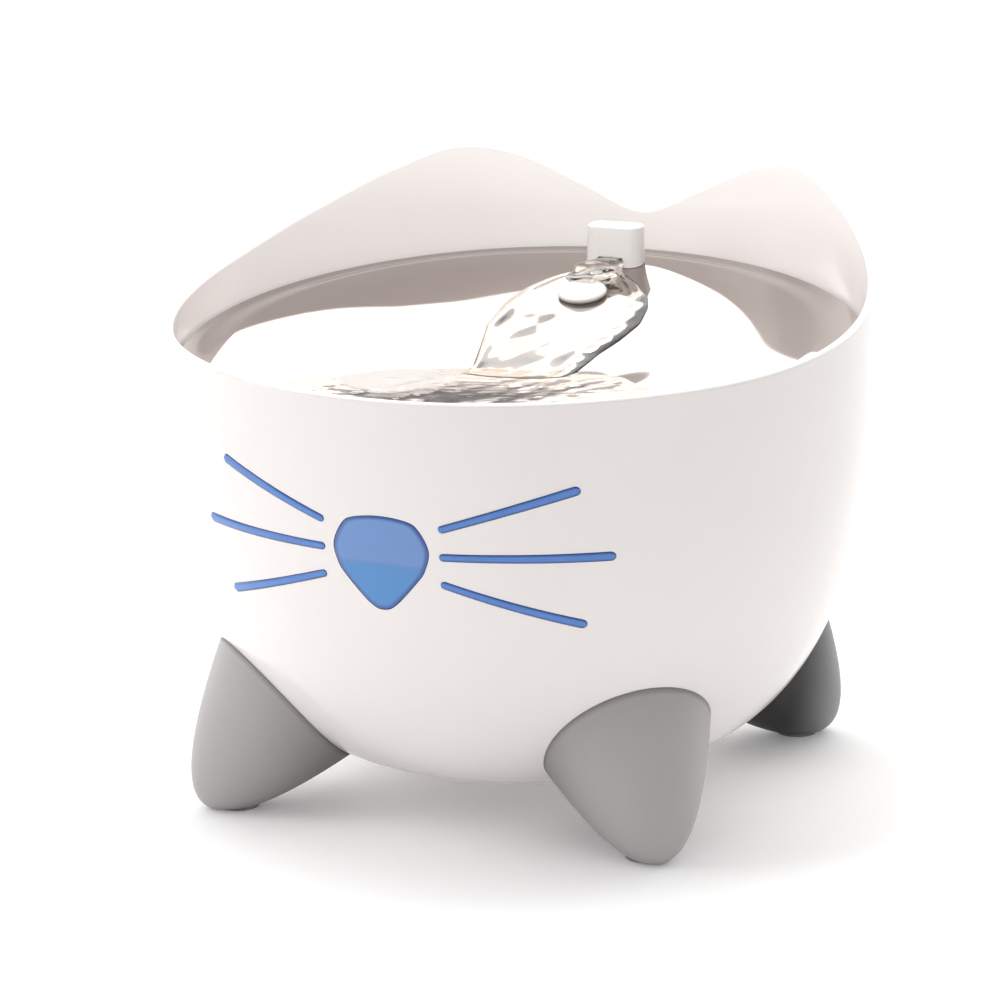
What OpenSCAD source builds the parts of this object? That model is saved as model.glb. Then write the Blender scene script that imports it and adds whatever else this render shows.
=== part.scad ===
// Pet water fountain: an eared bowl on four feet, with a steel drinking dish over a
// water reservoir, a submersible pump, a riser to a rear spout and a filter under the dish.
// Millimetres. +Z is up, -Y is the front, the origin is on the floor under the bowl's axis.

/* [Bowl] */
// Outer radius of the bowl at its widest
bowl_r = 120.2; // [112:0.2:128]
// Height at which the side becomes vertical
side_top_z = 175; // [168:1:179]
// Height at which the side curve would close below the base
side_foot_z = 7.3; // [4:0.1:9]
// Height of the flat base above the floor
base_z = 14.1; // [12:0.1:18]
// Fullness of the side curve over its height
side_power = 3.25; // [2.6:0.05:3.8]
// Fullness of the side curve over its radius
side_round = 2.96; // [2.4:0.02:3.4]
// Thickness of the bowl wall
wall = 2.6; // [2:0.1:3.4]

/* [Rim and ears] */
// Height of the rim at the front
front_z = 156.7; // [150:0.1:160]
// Height of the ear tips
ear_z = 203; // [192:0.5:212]
// Height of the valley between the ears
valley_z = 180; // [172:0.5:190]
// Azimuth of the ear tips from the front
ear_az = 148; // [142:1:154]

/* [Nose window and whiskers] */
// Width of the nose window
nose_w = 33; // [28:0.5:36]
// Height of the nose window
nose_h = 31.6; // [26:0.2:34]
// Height of the nose window's lower tip
nose_z = 87; // [82:0.5:92]
// Width of the flange and gasket behind the wall round the nose window
nose_flange_w = 3; // [2:0.2:4]
// Thickness of the nose window's inner flange
nose_flange_t = 1.4; // [1:0.1:2]
// Thickness of the nose window gasket
nose_gasket_t = 0.6; // [0.4:0.1:1]
// Distance of the whiskers' inner ends from the middle
whisker_in = 21.2; // [19:0.2:24]
// Distance of the upper and lower whiskers' outer ends from the middle
whisker_out = 61; // [50:0.5:66]
// Distance of the middle whiskers' outer ends from the middle
middle_whisker_out = 70; // [56:0.5:74]
// Height of the middle whiskers
whisker_z = 106.3; // [100:0.1:112]
// Spacing of the whiskers at their inner ends
whisker_pitch = 9.4; // [8:0.1:11]
// Rise of the upper whiskers and fall of the lower ones over their length
whisker_rise = 13; // [9:0.2:16]
// Width of a whisker at its outer end
whisker_w = 2.9; // [2:0.1:3.6]
// Depth of a whisker inlay in the wall
whisker_t = 1.4; // [0.8:0.1:1.6]

/* [Feet] */
// How far inside the bowl's widest radius the front feet's tips point down
foot_tip_in = 5; // [2:0.2:8]
// Height of the point that the foot curve closes at
foot_tip_z = 1.6; // [0.6:0.1:2.4]
// Lean of a foot's axis from the vertical
foot_lean = 39; // [34:0.5:44]
// Length of the foot curve along its axis
foot_len = 90; // [80:1:100]
// Half depth of a foot on its outer side
foot_depth_out = 39.3; // [36:0.1:42]
// Half depth of a foot on its inner side
foot_depth_in = 45.5; // [42:0.1:48]
// Half width of a foot
foot_half_w = 42.3; // [38:0.1:46]
// Bluntness of a foot's tip
foot_blunt = 5; // [3:0.2:8]
// Thickness of a foot's shell
foot_wall = 2.6; // [2:0.1:4]
// Azimuth of the front feet from the front
front_foot_az = 46; // [42:1:50]
// Azimuth of the rear feet from the front
rear_foot_az = 139; // [130:1:142]
// How much further out the rear feet stand
rear_foot_out = 8; // [0:0.5:10]
// Height of the flat land under a foot
foot_land_z = 0.7; // [0.4:0.1:1]
// Radius of a foot pad
pad_r = 7; // [5:0.2:8]
// Thickness of a foot pad
pad_t = 3; // [2.4:0.1:4]
// Radius of a foot screw's shank
screw_r = 1.55; // [1.3:0.05:2]
// Radius of a foot screw's head
screw_head_r = 3.3; // [2.8:0.1:4]
// Height of a foot screw's head
screw_head_h = 2.4; // [1.8:0.1:3]
// Length of a foot screw under its head
screw_len = 26; // [22:0.5:27]
// Radius of the screw posts and bosses
boss_r = 5.2; // [4.6:0.1:6]
// Distance from a pad's top to the joint face between a post and its boss
boss_start = 20; // [16:0.5:22]
// How far inside a foot's tip the middle of its pad stands
pad_in = 12; // [10:0.2:14]

/* [Cable gland] */
// Height of the cable gland in the rear wall
gland_z = 134; // [126:1:138]
// Radius of the cable hole through the grommet
gland_bore_r = 2.1; // [1.6:0.1:3]
// Radius of the gland hole in the wall
gland_hole_r = 5; // [4.6:0.1:6]
// Radius of the grommet's flanges
gland_flange_r = 7.5; // [7:0.1:9]
// Thickness of the grommet's flanges
gland_flange_t = 1.2; // [0.8:0.1:1.6]

/* [Drinking dish] */
// Gap between the dish's edge and the bowl's wall
dish_gap = 1; // [0.8:0.1:2]
// Width of the dish's flat edge
dish_flange = 3.6; // [2:0.2:5]
// Depth of the dish's middle below its edge
dish_sag = 4.4; // [3:0.1:7]
// Height of the dish's shoulder above its edge
dish_crown = 2.2; // [1:0.1:3]
// Distance of the shoulder inside the flat edge
dish_crown_in = 13; // [10:0.5:20]
// Thickness of the steel
dish_t = 0.8; // [0.5:0.1:1.2]
// Height of the dish's edge plane at the bowl's axis
dish_plane_z = 152.5; // [151:0.1:155]
// Slope of the dish's edge plane, rising to the rear
dish_tilt = 6.6; // [4:0.1:7]
// Radius of a drain hole
drain_hole_r = 2.1; // [1.4:0.1:2.6]
// Spacing of the drain holes
drain_pitch = 7; // [6:0.2:8.5]
// Rings of drain holes round the middle one
drain_rings = 1; // [1:1:2]

/* [Dish carrier] */
// Thickness of the carrier's shell
carrier_t = 2; // [1.6:0.1:2.6]
// Thickness of the carrier's outer ring
carrier_ring_t = 3; // [2.4:0.1:4]
// Width of the flat under the carrier's outer ring
carrier_ring_w = 5; // [5:0.1:6.4]
// Air gap between the dish and the carrier's shell
carrier_gap = 1; // [0.6:0.1:1.4]
// Thickness of the ledge inside the bowl
ledge_t = 3; // [2.4:0.1:4]
// Width of the ledge inside the bowl, up to the dish's edge
ledge_w = 4.6; // [3.6:0.1:4.6]

/* [Filter] */
// Inner radius of the filter skirt on the carrier
skirt_r = 35.4; // [33:0.1:37]
// Wall of the filter skirt
skirt_t = 1.8; // [1.4:0.1:2.4]
// Depth of the skirt's lower edge below the dish's edge plane
skirt_depth = 26.4; // [25:0.2:30]
// Gap between the filter skirt and the ledge
skirt_gap = 2.8; // [1.6:0.2:6]
// Wall of the filter tray
tray_t = 1.8; // [1.4:0.1:2.4]
// Width of the seat over the tray's rim
skirt_seat_w = 7.8; // [5:0.2:9]
// Depth of the tray's rim below the dish's edge plane
tray_rim_depth = 11; // [10.8:0.1:12]
// Thickness of the tray's lid
lid_t = 1.6; // [1.2:0.1:2.2]
// Thickness of the foam disc
foam_t = 5; // [4:0.2:6]
// Thickness of the carbon disc
carbon_t = 6.5; // [5:0.2:8]
// Thickness of the softener resin disc
resin_t = 6.5; // [5:0.2:8]
// Radius of the lid's and tray's flow holes
flow_hole_r = 1.9; // [1.4:0.1:2.4]
// Spacing of the flow holes
flow_hole_pitch = 6.6; // [6:0.2:8]

/* [Spout and riser] */
// Width of the spout
spout_w = 20; // [17:0.2:22]
// Depth of the spout from front to back
spout_d = 11; // [10.4:0.2:13]
// Corner radius of the spout
spout_corner_r = 4.2; // [2:0.1:5]
// Height of the spout above the dish
spout_h = 14.1; // [12:0.1:18]
// Distance of the spout's middle inside the dish's edge
spout_in = 26.1; // [25:0.1:30]
// Height of the spout's water slot
slot_h = 3; // [2.5:0.1:3.9]
// Width of the spout's water slot
slot_w = 10; // [9:0.5:13]
// Height of the slot's sill above the dish
slot_sill = 0.8; // [0.6:0.1:3]
// Outer radius of the riser tube
riser_r = 4; // [3.7:0.1:4.2]
// Inner radius of the riser tube
riser_bore_r = 3; // [2.6:0.1:3.2]
// Bend radius of the riser's elbows
riser_bend_r = 12; // [9:0.5:14]
// Lean of the riser's middle stretch from the vertical
riser_lean = 48; // [46:0.5:52]

/* [Deflector button] */
// Distance of the button in front of the spout
button_spacing = 32; // [24:0.5:34]
// Radius of the button
button_r = 8.6; // [7:0.1:10]
// Thickness of the button
button_t = 3; // [2:0.1:4]
// Radius of the button's stem
button_stem_r = 2.4; // [2:0.1:3]
// Thickness of the button's clip
button_clip_t = 1.2; // [0.8:0.1:1.6]

/* [Pump] */
// Width of the pump housing
pump_w = 40; // [38:0.5:44]
// Depth of the pump housing from front to back
pump_d = 42; // [41:0.5:46]
// Height of the pump housing
pump_h = 36; // [35.5:0.5:40]
// Corner radius of the pump housing
pump_corner_r = 4; // [2:0.2:5]
// Wall of the pump housing
pump_wall = 2.2; // [1.6:0.1:2.6]
// Distance of the pump's middle behind the bowl's axis
pump_y = 36; // [32:0.5:37]
// Thickness of the housing over the impeller chamber
chamber_top_t = 2.5; // [2:0.1:3.5]
// Radius of the impeller chamber
chamber_r = 12.5; // [12:0.1:13]
// Depth of the impeller chamber
chamber_d = 10; // [9.6:0.1:11]
// Radius of the rotor well
well_r = 7.2; // [7:0.1:7.6]
// Wall of the rotor well
well_t = 1.4; // [1:0.1:1.5]
// Depth of the rotor well behind the chamber
well_d = 22.4; // [21:0.2:24]
// Height of the outlet spigot
spigot_h = 10; // [8:0.5:12]
// Height of the suction cups
cup_h = 4.4; // [3.6:0.1:5]
// Radius of the suction cups
cup_r = 5.6; // [4.6:0.1:6]
// Depth of the front grille cap
grille_d = 12; // [11:0.2:14]
// Wall of the front grille cap
grille_t = 1.6; // [1.2:0.1:2]
// Radius of the impeller shaft
shaft_r = 1; // [0.8:0.05:1.2]
// Tip radius of the impeller's blades
blade_r = 10.8; // [10:0.1:11.4]
// Number of impeller blades
blade_count = 6; // [4:1:8]
// Radius of the flow knob's dial
knob_r = 6.4; // [5:0.1:8]
// Thickness of the flow knob's dial
knob_t = 3.2; // [2.4:0.1:4]

/* [Fits] */
// Radial play of a running or sliding fit
run_fit = 0.06; // [0.03:0.01:0.1]
// Gap round a piece that is set in a cut-out
set_gap = 0.15; // [0.1:0.01:0.25]
// Gap between curved pieces that don't bear on each other
free_gap = 0.4; // [0.3:0.05:0.6]
// Gap between stacked pieces
stack_gap = 0.2; // [0.1:0.05:0.3]
// Gap between faces that are pressed together
press_gap = 0.04; // [0.02:0.01:0.06]

/* [Hidden] */
$fn = 96;
side_steps = 22;
rim_steps = 120;
margin = 5; // how far cutting shapes stand past what they cut
over = 0.05; // overlap that joins two shapes of one solid

side_zs = [for (i = [0:side_steps])
    base_z + (side_top_z - base_z) * pow(i / side_steps, 1.6)];
rim_front = [[0, 0], [35, 0.03], [70, 0.11], [100, 0.32], [120, 0.59], [135, 0.84], [148, 1]];
rim_back = [[148, 1], [158, 0.84], [169, 0.39], [180, 0]];
nose_half = [[0, 1], [0.56, 0.965], [0.81, 0.88], [1, 0.665], [0.91, 0.46],
    [0.745, 0.33], [0.27, 0.06], [0, 0]];
nose_facets = 4; // facets between two points of the nose outline

whisker_ends = [
    [[whisker_in, whisker_z + whisker_pitch],
        [whisker_out, whisker_z + whisker_pitch + whisker_rise]],
    [[whisker_in, whisker_z], [middle_whisker_out, whisker_z + 0.3]],
    [[whisker_in, whisker_z - whisker_pitch],
        [whisker_out, whisker_z - whisker_pitch - whisker_rise]]];
whisker_in_w = 0.8 * whisker_w;

foot_rings = 10;
foot_sides = 28;
foot_tip_r = bowl_r - foot_tip_in;
pad_at_r = foot_tip_r - pad_in; // radius at which a front foot stands on its pad
screw_head_start = screw_head_r * tan(foot_lean) + stack_gap; // so that the head clears the pad
feet = [[-front_foot_az, 0], [front_foot_az, 0],
    [-rear_foot_az, rear_foot_out], [rear_foot_az, rear_foot_out]];

// Levels and radii in the dish's frame
dish_r = bowl_r - wall - dish_gap;
carrier_r = dish_r - set_gap;
carrier_shell_r = carrier_r - carrier_ring_w - 2; // where the shell meets the ring
ledge_top = -dish_t - carrier_ring_t;
dish_curve_r = dish_r - dish_flange;
crown_r = dish_curve_r - dish_crown_in;
dish_rise = [[0, 0], [0.25, 0.05], [0.45, 0.3], [0.65, 0.66], [0.85, 0.94], [1, 1]];
dish_steps = 20;
drain_y = dish_r - ledge_w - skirt_gap - skirt_t - skirt_r; // in front of the axis
spout_y = dish_r - spout_in; // behind the axis
button_y = spout_y - button_spacing;
tray_r = skirt_r - free_gap;
lid_z = -tray_rim_depth - stack_gap - lid_t;
foam_z = lid_z - stack_gap - foam_t;
carbon_z = foam_z - stack_gap - carbon_t;
resin_z = carbon_z - stack_gap - resin_t;
tray_floor = resin_z - stack_gap - tray_t;
tray_hole_rings = 4; // rings of flow holes in the tray and its lid

// Levels above the floor
floor_z = inset_point(base_z, wall)[1];
pump_z = floor_z + cup_h;
spout_foot_z = dish_plane_z + spout_y * sin(dish_tilt) + dish_h(spout_y) * cos(dish_tilt);
spout_top_z = spout_foot_z + spout_h;
slot_z = spout_foot_z + slot_sill;

// Pump, in its own frame: X across, Y to the rear from its middle, Z up from its underside
axis_z = pump_h - chamber_top_t - chamber_r;
pump_front = -pump_d / 2;
chamber_back = pump_front + chamber_d;
well_back = chamber_back + well_d;
cavity_front = chamber_back + 2.4; // rear face of the chamber's wall
outlet_y = pump_front + chamber_d / 2;
spigot_r = riser_bore_r - run_fit;
spigot_t = 0.9; // wall of the outlet spigot
cup_x = pump_w / 2 - 7;
cup_y = pump_d / 2 - 8;
cup_neck_r = 3.4; // radius of a suction cup's neck
cup_stud_r = 2.2; // radius of the stud that holds a suction cup
cup_stud_h = 1.5;
cover_t = 1.6; // thickness of the impeller cover
bush_r = 2; // radius of the front shaft bush
bush_t = 1.6; // thickness of the shaft bushes
end_play = 0.5; // gap between the rotor's hub and a bush
hub_r = 3.2;
hub_front = pump_front + cover_t + end_play;
hub_back = well_back - bush_t - end_play;
blade_t = 1.2; // thickness of the impeller's blades and disc
grille_front = pump_front - grille_d;
grille_slots = 5;
slot_gap_w = 2.6; // width of a grille slot
shutter_r = knob_r + 6;
shutter_t = 1.2;

// Riser, whose slanting stretch leads from over the pump's outlet to the spout
riser_start_z = pump_z + pump_h + free_gap;
riser_bend_z = pump_z + pump_h + spigot_h + 2;
riser_y = pump_y + outlet_y;
riser_run = (spout_y - riser_y - 2 * riser_bend_r * (1 - cos(riser_lean))) / sin(riser_lean);
riser_high_z = riser_bend_z + 2 * riser_bend_r * sin(riser_lean) + riser_run * cos(riser_lean);
riser_top_z = slot_z + free_gap;
socket_l = 6; // depth of the sockets at the elbows' ends
socket_t = 1.5; // wall of the sockets
elbow_t = 0.8; // how much wider an elbow is than the tube

// Motor, whose core stands behind the chamber and round the rotor well
core_d = 10;
core_y = cavity_front + 9;
core_w = 2 * (well_r + well_t + 6.4);
arm_w = 5.6;
arm_top = axis_z + 9;
bobbin_t = 0.8;
bobbin_flange = 3.2; // how far the bobbin's flanges stand out from the core, front and rear
bobbin_flange_h = 2.6; // and above and below it
bobbin_gap = 0.3; // gap between the bobbin and the housing
yoke_z = pump_wall + bobbin_gap + bobbin_flange_h;
yoke_h = axis_z - well_r - well_t - bobbin_gap - bobbin_flange_h - yoke_z;
core_fit = 0.1; // gap round the core inside the bobbin, and round the bobbin's tube
coil_w = core_w - 2 * arm_w - 3;
cap_t = 2; // thickness of the motor cap
cable_boss_r = 4.4;
cable_boss_l = 6;

// ---- curves ----

// Outer radius of the bowl at a height: a superellipse quarter
function side_r(z) = bowl_r * pow(1 - pow(max(0, (side_top_z - z)
    / (side_top_z - side_foot_z)), side_power), 1 / side_round);
function side_slope(z) = (side_r(z + 0.05) - side_r(z - 0.05)) / 0.1;
// Point of the side curve moved in by d, square to the curve
function inset_point(z, d) = let (k = side_slope(z), n = sqrt(1 + k * k))
    [side_r(z) - d / n, z + d * k / n];

// Smooth curve through [x, y] knots, level at both ends
function knot_slope(k, i) = (i <= 0 || i >= len(k) - 1) ? 0
    : (k[i + 1][1] - k[i - 1][1]) / (k[i + 1][0] - k[i - 1][0]);
function knot_at(k, x, i = 0) = (i >= len(k) - 2 || x <= k[i + 1][0]) ? i : knot_at(k, x, i + 1);
function smooth(k, x) = let (i = knot_at(k, x), w = k[i + 1][0] - k[i][0], t = (x - k[i][0]) / w)
    k[i][1] * (1 + 2 * t) * (1 - t) * (1 - t) + k[i + 1][1] * t * t * (3 - 2 * t)
    + w * t * (1 - t) * (knot_slope(k, i) * (1 - t) - knot_slope(k, i + 1) * t);

// Height of the rim at an azimuth from the front
function rim_z(az) = let (a = az > 180 ? 360 - az : az)
    a <= ear_az ? front_z + (ear_z - front_z) * smooth(rim_front, a * 148 / ear_az)
    : valley_z + (ear_z - valley_z) * smooth(rim_back, 180 - (180 - a) * 32 / (180 - ear_az));

// Height of the dish's surface above its edge plane, and its slope, at a radius
function dish_h(r) = let (t = min(1, (r - crown_r) / dish_crown_in))
    r <= crown_r ? -dish_sag + (dish_sag + dish_crown) * smooth(dish_rise, r / crown_r)
    : dish_crown * (1 - t * t * (3 - 2 * t));
function dish_slope(r) = (dish_h(r + 0.05) - dish_h(r - 0.05)) / 0.1;

// Closed smooth curve through points, n facets to a stretch
function closed_curve(p, n) = let (c = len(p)) [for (i = [0:c - 1], j = [0:n - 1])
    let (a = p[(i + c - 1) % c], b = p[i], d = p[(i + 1) % c], e = p[(i + 2) % c], t = j / n)
    0.5 * (2 * b + (d - a) * t + (2 * a - 5 * b + 4 * d - e) * t * t
        + (3 * b - a - 3 * d + e) * t * t * t)];

nose_points = [for (q = nose_half) [q[0] * nose_w / 2, nose_z + q[1] * nose_h]];
nose_outline = closed_curve(concat(nose_points,
    [for (i = [len(nose_points) - 2:-1:1]) [-nose_points[i][0], nose_points[i][1]]]), nose_facets);

// ---- shared shapes ----

// Solid inside the bowl's side curve moved in by d, up to a height
module side_solid(d, top) {
    rotate_extrude(convexity = 4)
        polygon(concat([[0, inset_point(base_z, d)[1]]],
            [for (z = side_zs) inset_point(z, d)],
            [[bowl_r - d, top], [0, top]]));
}

// Layer of the wall between two depths from the outside
module wall_layer(d1, d2) {
    difference() {
        side_solid(d1, side_top_z);
        side_solid(d2, side_top_z + margin);
    }
}

// Everything above the rim line
module rim_cutter() {
    inner = bowl_r - wall - margin;
    outer = bowl_r + margin;
    top = ear_z + margin;
    n = rim_steps;
    function ring(r, flat) = [for (i = [0:n - 1]) let (a = 360 * i / n)
        [r * sin(a), -r * cos(a), flat ? top : rim_z(a)]];
    points = concat(ring(inner, false), ring(outer, false), ring(outer, true), ring(inner, true));
    faces = [for (i = [0:n - 1], k = [0:3]) let (j = (i + 1) % n, a = k * n, b = (k + 1) % 4 * n)
        each [[a + i, b + i, b + j], [a + i, b + j, a + j]]];
    polyhedron(points, faces, convexity = 8);
}

// Stretches a front-face outline through the front wall
module through_front() {
    translate([0, -bowl_r / 2, 0]) rotate([90, 0, 0])
        linear_extrude(height = bowl_r / 2 + margin) children();
}

module nose_shape(grow) {
    offset(r = grow, $fn = 32) polygon(nose_outline);
}

// A round-ended bar, narrower at its inner end
module whisker_shape(ends, grow) {
    d = ends[1] - ends[0];
    a = atan2(d[1], d[0]);
    r0 = whisker_in_w / 2 + grow;
    r1 = whisker_w / 2 + grow;
    polygon(concat(
        [for (t = [-90:20:90]) ends[1] + (r1 * [cos(a + t), sin(a + t)])],
        [for (t = [90:20:270]) ends[0] + (r0 * [cos(a + t), sin(a + t)])]));
}

module on_side(side) {
    if (side > 0) children();
    else mirror([1, 0, 0]) children();
}

// Box with round upright edges, standing on z = 0
module round_box(w, d, h, r) {
    translate([-w / 2 + r, -d / 2, 0]) cube([w - 2 * r, d, h]);
    translate([-w / 2, -d / 2 + r, 0]) cube([w, d - 2 * r, h]);
    for (x = [-1, 1], y = [-1, 1])
        translate([x * (w / 2 - r), y * (d / 2 - r), 0]) cylinder(r = r, h = h, $fn = 32);
}

// Cylinder along +Y from y0 to y1
module bar_y(r, y0, y1) {
    translate([0, y0, 0]) rotate([-90, 0, 0]) cylinder(r = r, h = y1 - y0);
}

// A middle hole and rings of holes round it, each ring one pitch further out
module hole_field(r, pitch, rings, h) {
    cylinder(r = r, h = h, $fn = 24);
    for (k = [1:rings], i = [0:6 * k - 1])
        rotate([0, 0, 360 * i / (6 * k)]) translate([k * pitch, 0, 0]) cylinder(r = r, h = h, $fn = 24);
}

// ---- bowl ----

module at_foot(f) {
    rotate([0, 0, f[0] - 90]) translate([f[1], 0, 0]) children();
}

// A foot screw's axis, which leans with the foot from the middle of its pad's top
module at_screw(f) {
    at_foot(f) translate([pad_at_r, 0, pad_t]) rotate([0, -foot_lean, 0]) children();
}

// Tilted ring that the dish's carrier rests on, tapered below so that it can be moulded
module ledge() {
    outer = bowl_r - wall / 2;
    inner = dish_r - ledge_w;
    in_dish_frame() rotate_extrude()
        polygon([[inner, ledge_top], [outer, ledge_top],
            [outer, ledge_top - ledge_t - (outer - inner)], [inner, ledge_top - ledge_t]]);
}

module bowl() {
    color("white") difference() {
        union() {
            difference() {
                union() {
                    side_solid(0, ear_z + 1);
                    for (f = feet) at_screw(f) translate([0, 0, boss_start])
                        cylinder(r = boss_r, h = 2 * boss_start);
                }
                side_solid(wall, ear_z + margin);
                for (f = feet) at_screw(f) translate([0, 0, boss_start - 1])
                    cylinder(r = screw_r + run_fit,
                        h = screw_head_start + screw_head_h + screw_len - boss_start + 1.5);
            }
            intersection() {
                ledge();
                side_solid(wall / 2, ear_z);
            }
        }
        rim_cutter();
        through_front() nose_shape(set_gap);
        for (side = [-1, 1], ends = whisker_ends) on_side(side) intersection() {
            through_front() whisker_shape(ends, set_gap);
            difference() {
                side_solid(-margin, side_top_z);
                side_solid(whisker_t, side_top_z + margin);
            }
        }
        translate([0, 0, gland_z]) bar_y(gland_hole_r, bowl_r - 2 * margin, bowl_r + margin);
    }
}

// ---- nose window and whiskers ----

module nose_window() {
    back = wall + nose_gasket_t;
    color("cornflowerblue") {
        intersection() {
            through_front() nose_shape(0);
            wall_layer(0, back + nose_flange_t);
        }
        intersection() {
            through_front() nose_shape(nose_flange_w);
            wall_layer(back, back + nose_flange_t);
        }
    }
}

module nose_gasket() {
    color("lightgray") intersection() {
        through_front() difference() {
            nose_shape(nose_flange_w);
            nose_shape(set_gap);
        }
        wall_layer(wall + press_gap, wall + nose_gasket_t - press_gap);
    }
}

module whisker(side, i) {
    color("cornflowerblue") on_side(side) intersection() {
        through_front() whisker_shape(whisker_ends[i], 0);
        wall_layer(0, whisker_t);
    }
}

module whisker_left_upper() { whisker(-1, 0); }
module whisker_left_middle() { whisker(-1, 1); }
module whisker_left_lower() { whisker(-1, 2); }
module whisker_right_upper() { whisker(1, 0); }
module whisker_right_middle() { whisker(1, 1); }
module whisker_right_lower() { whisker(1, 2); }

// ---- feet ----

// Paraboloid-like cone on a leaning axis, made smaller by t on every side; X points outwards
module foot_cone(t) {
    along = [-sin(foot_lean), cos(foot_lean)];
    across = [cos(foot_lean), sin(foot_lean)];
    tip = [foot_tip_r, foot_tip_z] + 1.2 * t * along;
    function half(u) = sqrt((u * u + 2 * foot_blunt * u) / (1 + 2 * foot_blunt));
    function point(u, a) = let (
        d = half(u) * cos(a) * ((cos(a) > 0 ? foot_depth_out : foot_depth_in) - t),
        q = tip + foot_len * u * along + d * across)
        [q[0], half(u) * sin(a) * (foot_half_w - t), q[1]];
    points = concat([[tip[0], 0, tip[1]]],
        [for (i = [1:foot_rings], j = [0:foot_sides - 1])
            point(pow(i / foot_rings, 2), 360 * j / foot_sides)]);
    faces = concat(
        [for (j = [0:foot_sides - 1]) [0, 1 + j, 1 + (j + 1) % foot_sides]],
        [for (i = [0:foot_rings - 2], j = [0:foot_sides - 1])
            let (a = 1 + i * foot_sides, b = a + foot_sides, k = (j + 1) % foot_sides)
            each [[a + j, b + k, a + k], [a + j, b + j, b + k]]],
        [[for (j = [foot_sides - 1:-1:0]) 1 + (foot_rings - 1) * foot_sides + j]]);
    polyhedron(points, faces, convexity = 4);
}

module foot(i) {
    f = feet[i];
    color("darkgray") difference() {
        union() {
            at_foot(f) difference() {
                foot_cone(0);
                foot_cone(foot_wall);
            }
            intersection() {
                at_foot(f) foot_cone(foot_wall / 2);
                at_screw(f) translate([0, 0, -margin]) cylinder(r = boss_r, h = boss_start + margin);
            }
        }
        side_solid(-set_gap, side_top_z);
        at_screw(f) {
            translate([0, 0, boss_start]) cylinder(r = boss_r + free_gap, h = 2 * boss_start);
            translate([0, 0, -margin])
                cylinder(r = screw_head_r + set_gap, h = margin + screw_head_start + screw_head_h);
            cylinder(r = screw_r + set_gap, h = boss_start + 1);
        }
        at_foot(f) {
            translate([pad_at_r, 0, -margin]) cylinder(r = pad_r + set_gap, h = margin + pad_t);
            translate([0, -bowl_r, -margin]) cube([2 * bowl_r, 2 * bowl_r, margin + foot_land_z]);
        }
    }
}

module foot_front_left() { foot(0); }
module foot_front_right() { foot(1); }
module foot_rear_left() { foot(2); }
module foot_rear_right() { foot(3); }

module foot_pads() {
    color("dimgray") for (f = feet) at_foot(f) translate([pad_at_r, 0, 0])
        cylinder(r = pad_r, h = pad_t);
}

module foot_screws() {
    drive_w = 0.8;
    color("silver") for (f = feet) at_screw(f) translate([0, 0, screw_head_start]) difference() {
        union() {
            cylinder(r = screw_head_r, h = screw_head_h);
            cylinder(r = screw_r, h = screw_head_h + screw_len);
        }
        for (a = [0, 90]) rotate([0, 0, a]) cube([2 * screw_r, drive_w, screw_head_h], center = true);
    }
}

// ---- cable gland ----

module cable_grommet() {
    outside = side_r(gland_z + gland_flange_r) + press_gap; // clear of the wall all round
    low_r = inset_point(gland_z - gland_flange_r, wall)[0];
    inside = sqrt(pow(low_r, 2) - pow(gland_flange_r, 2));
    color("gray") translate([0, 0, gland_z]) difference() {
        union() {
            bar_y(gland_hole_r - run_fit, inside - gland_flange_t / 2, outside + gland_flange_t / 2);
            bar_y(gland_flange_r, outside, outside + gland_flange_t);
            bar_y(gland_flange_r, inside - gland_flange_t, inside);
        }
        bar_y(gland_bore_r, inside - 2 * margin, bowl_r + 2 * margin);
    }
}

// ---- drinking dish and its carrier ----

module in_dish_frame() {
    translate([0, 0, dish_plane_z]) rotate([dish_tilt, 0, 0]) children();
}

// Seats children on the dish's surface at a distance behind its middle
module on_dish(y) {
    in_dish_frame() translate([0, y, dish_h(y)]) rotate([atan(dish_slope(y)), 0, 0]) children();
}

// Points of the dish's curve lowered by d, out to a radius
function dish_curve(d, r) = [for (i = [0:dish_steps]) let (q = r * i / dish_steps)
    [q, dish_h(q) - d]];

// Solid below the dish's surface lowered by d, within a radius
module below_dish(d, r, depth) {
    in_dish_frame() rotate_extrude()
        polygon(concat(dish_curve(d, r), [[r, -depth], [0, -depth]]));
}

module button_hole(r) {
    on_dish(button_y) translate([0, 0, -4 * margin]) cylinder(r = r, h = 5 * margin, $fn = 32);
}

module riser_hole() {
    translate([0, spout_y, spout_foot_z - 4 * margin]) cylinder(r = riser_r + free_gap, h = 6 * margin);
}

module drinking_dish() {
    top = dish_curve(0, dish_curve_r);
    bottom = dish_curve(dish_t, dish_curve_r);
    color("lightsteelblue") difference() {
        in_dish_frame() rotate_extrude()
            polygon(concat(top, [[dish_r, 0], [dish_r, -dish_t]],
                [for (i = [dish_steps:-1:0]) bottom[i]]));
        riser_hole();
        button_hole(button_stem_r + set_gap);
        in_dish_frame() translate([0, -drain_y, -6 * margin])
            hole_field(drain_hole_r, drain_pitch, drain_rings, 7 * margin);
    }
}

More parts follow.
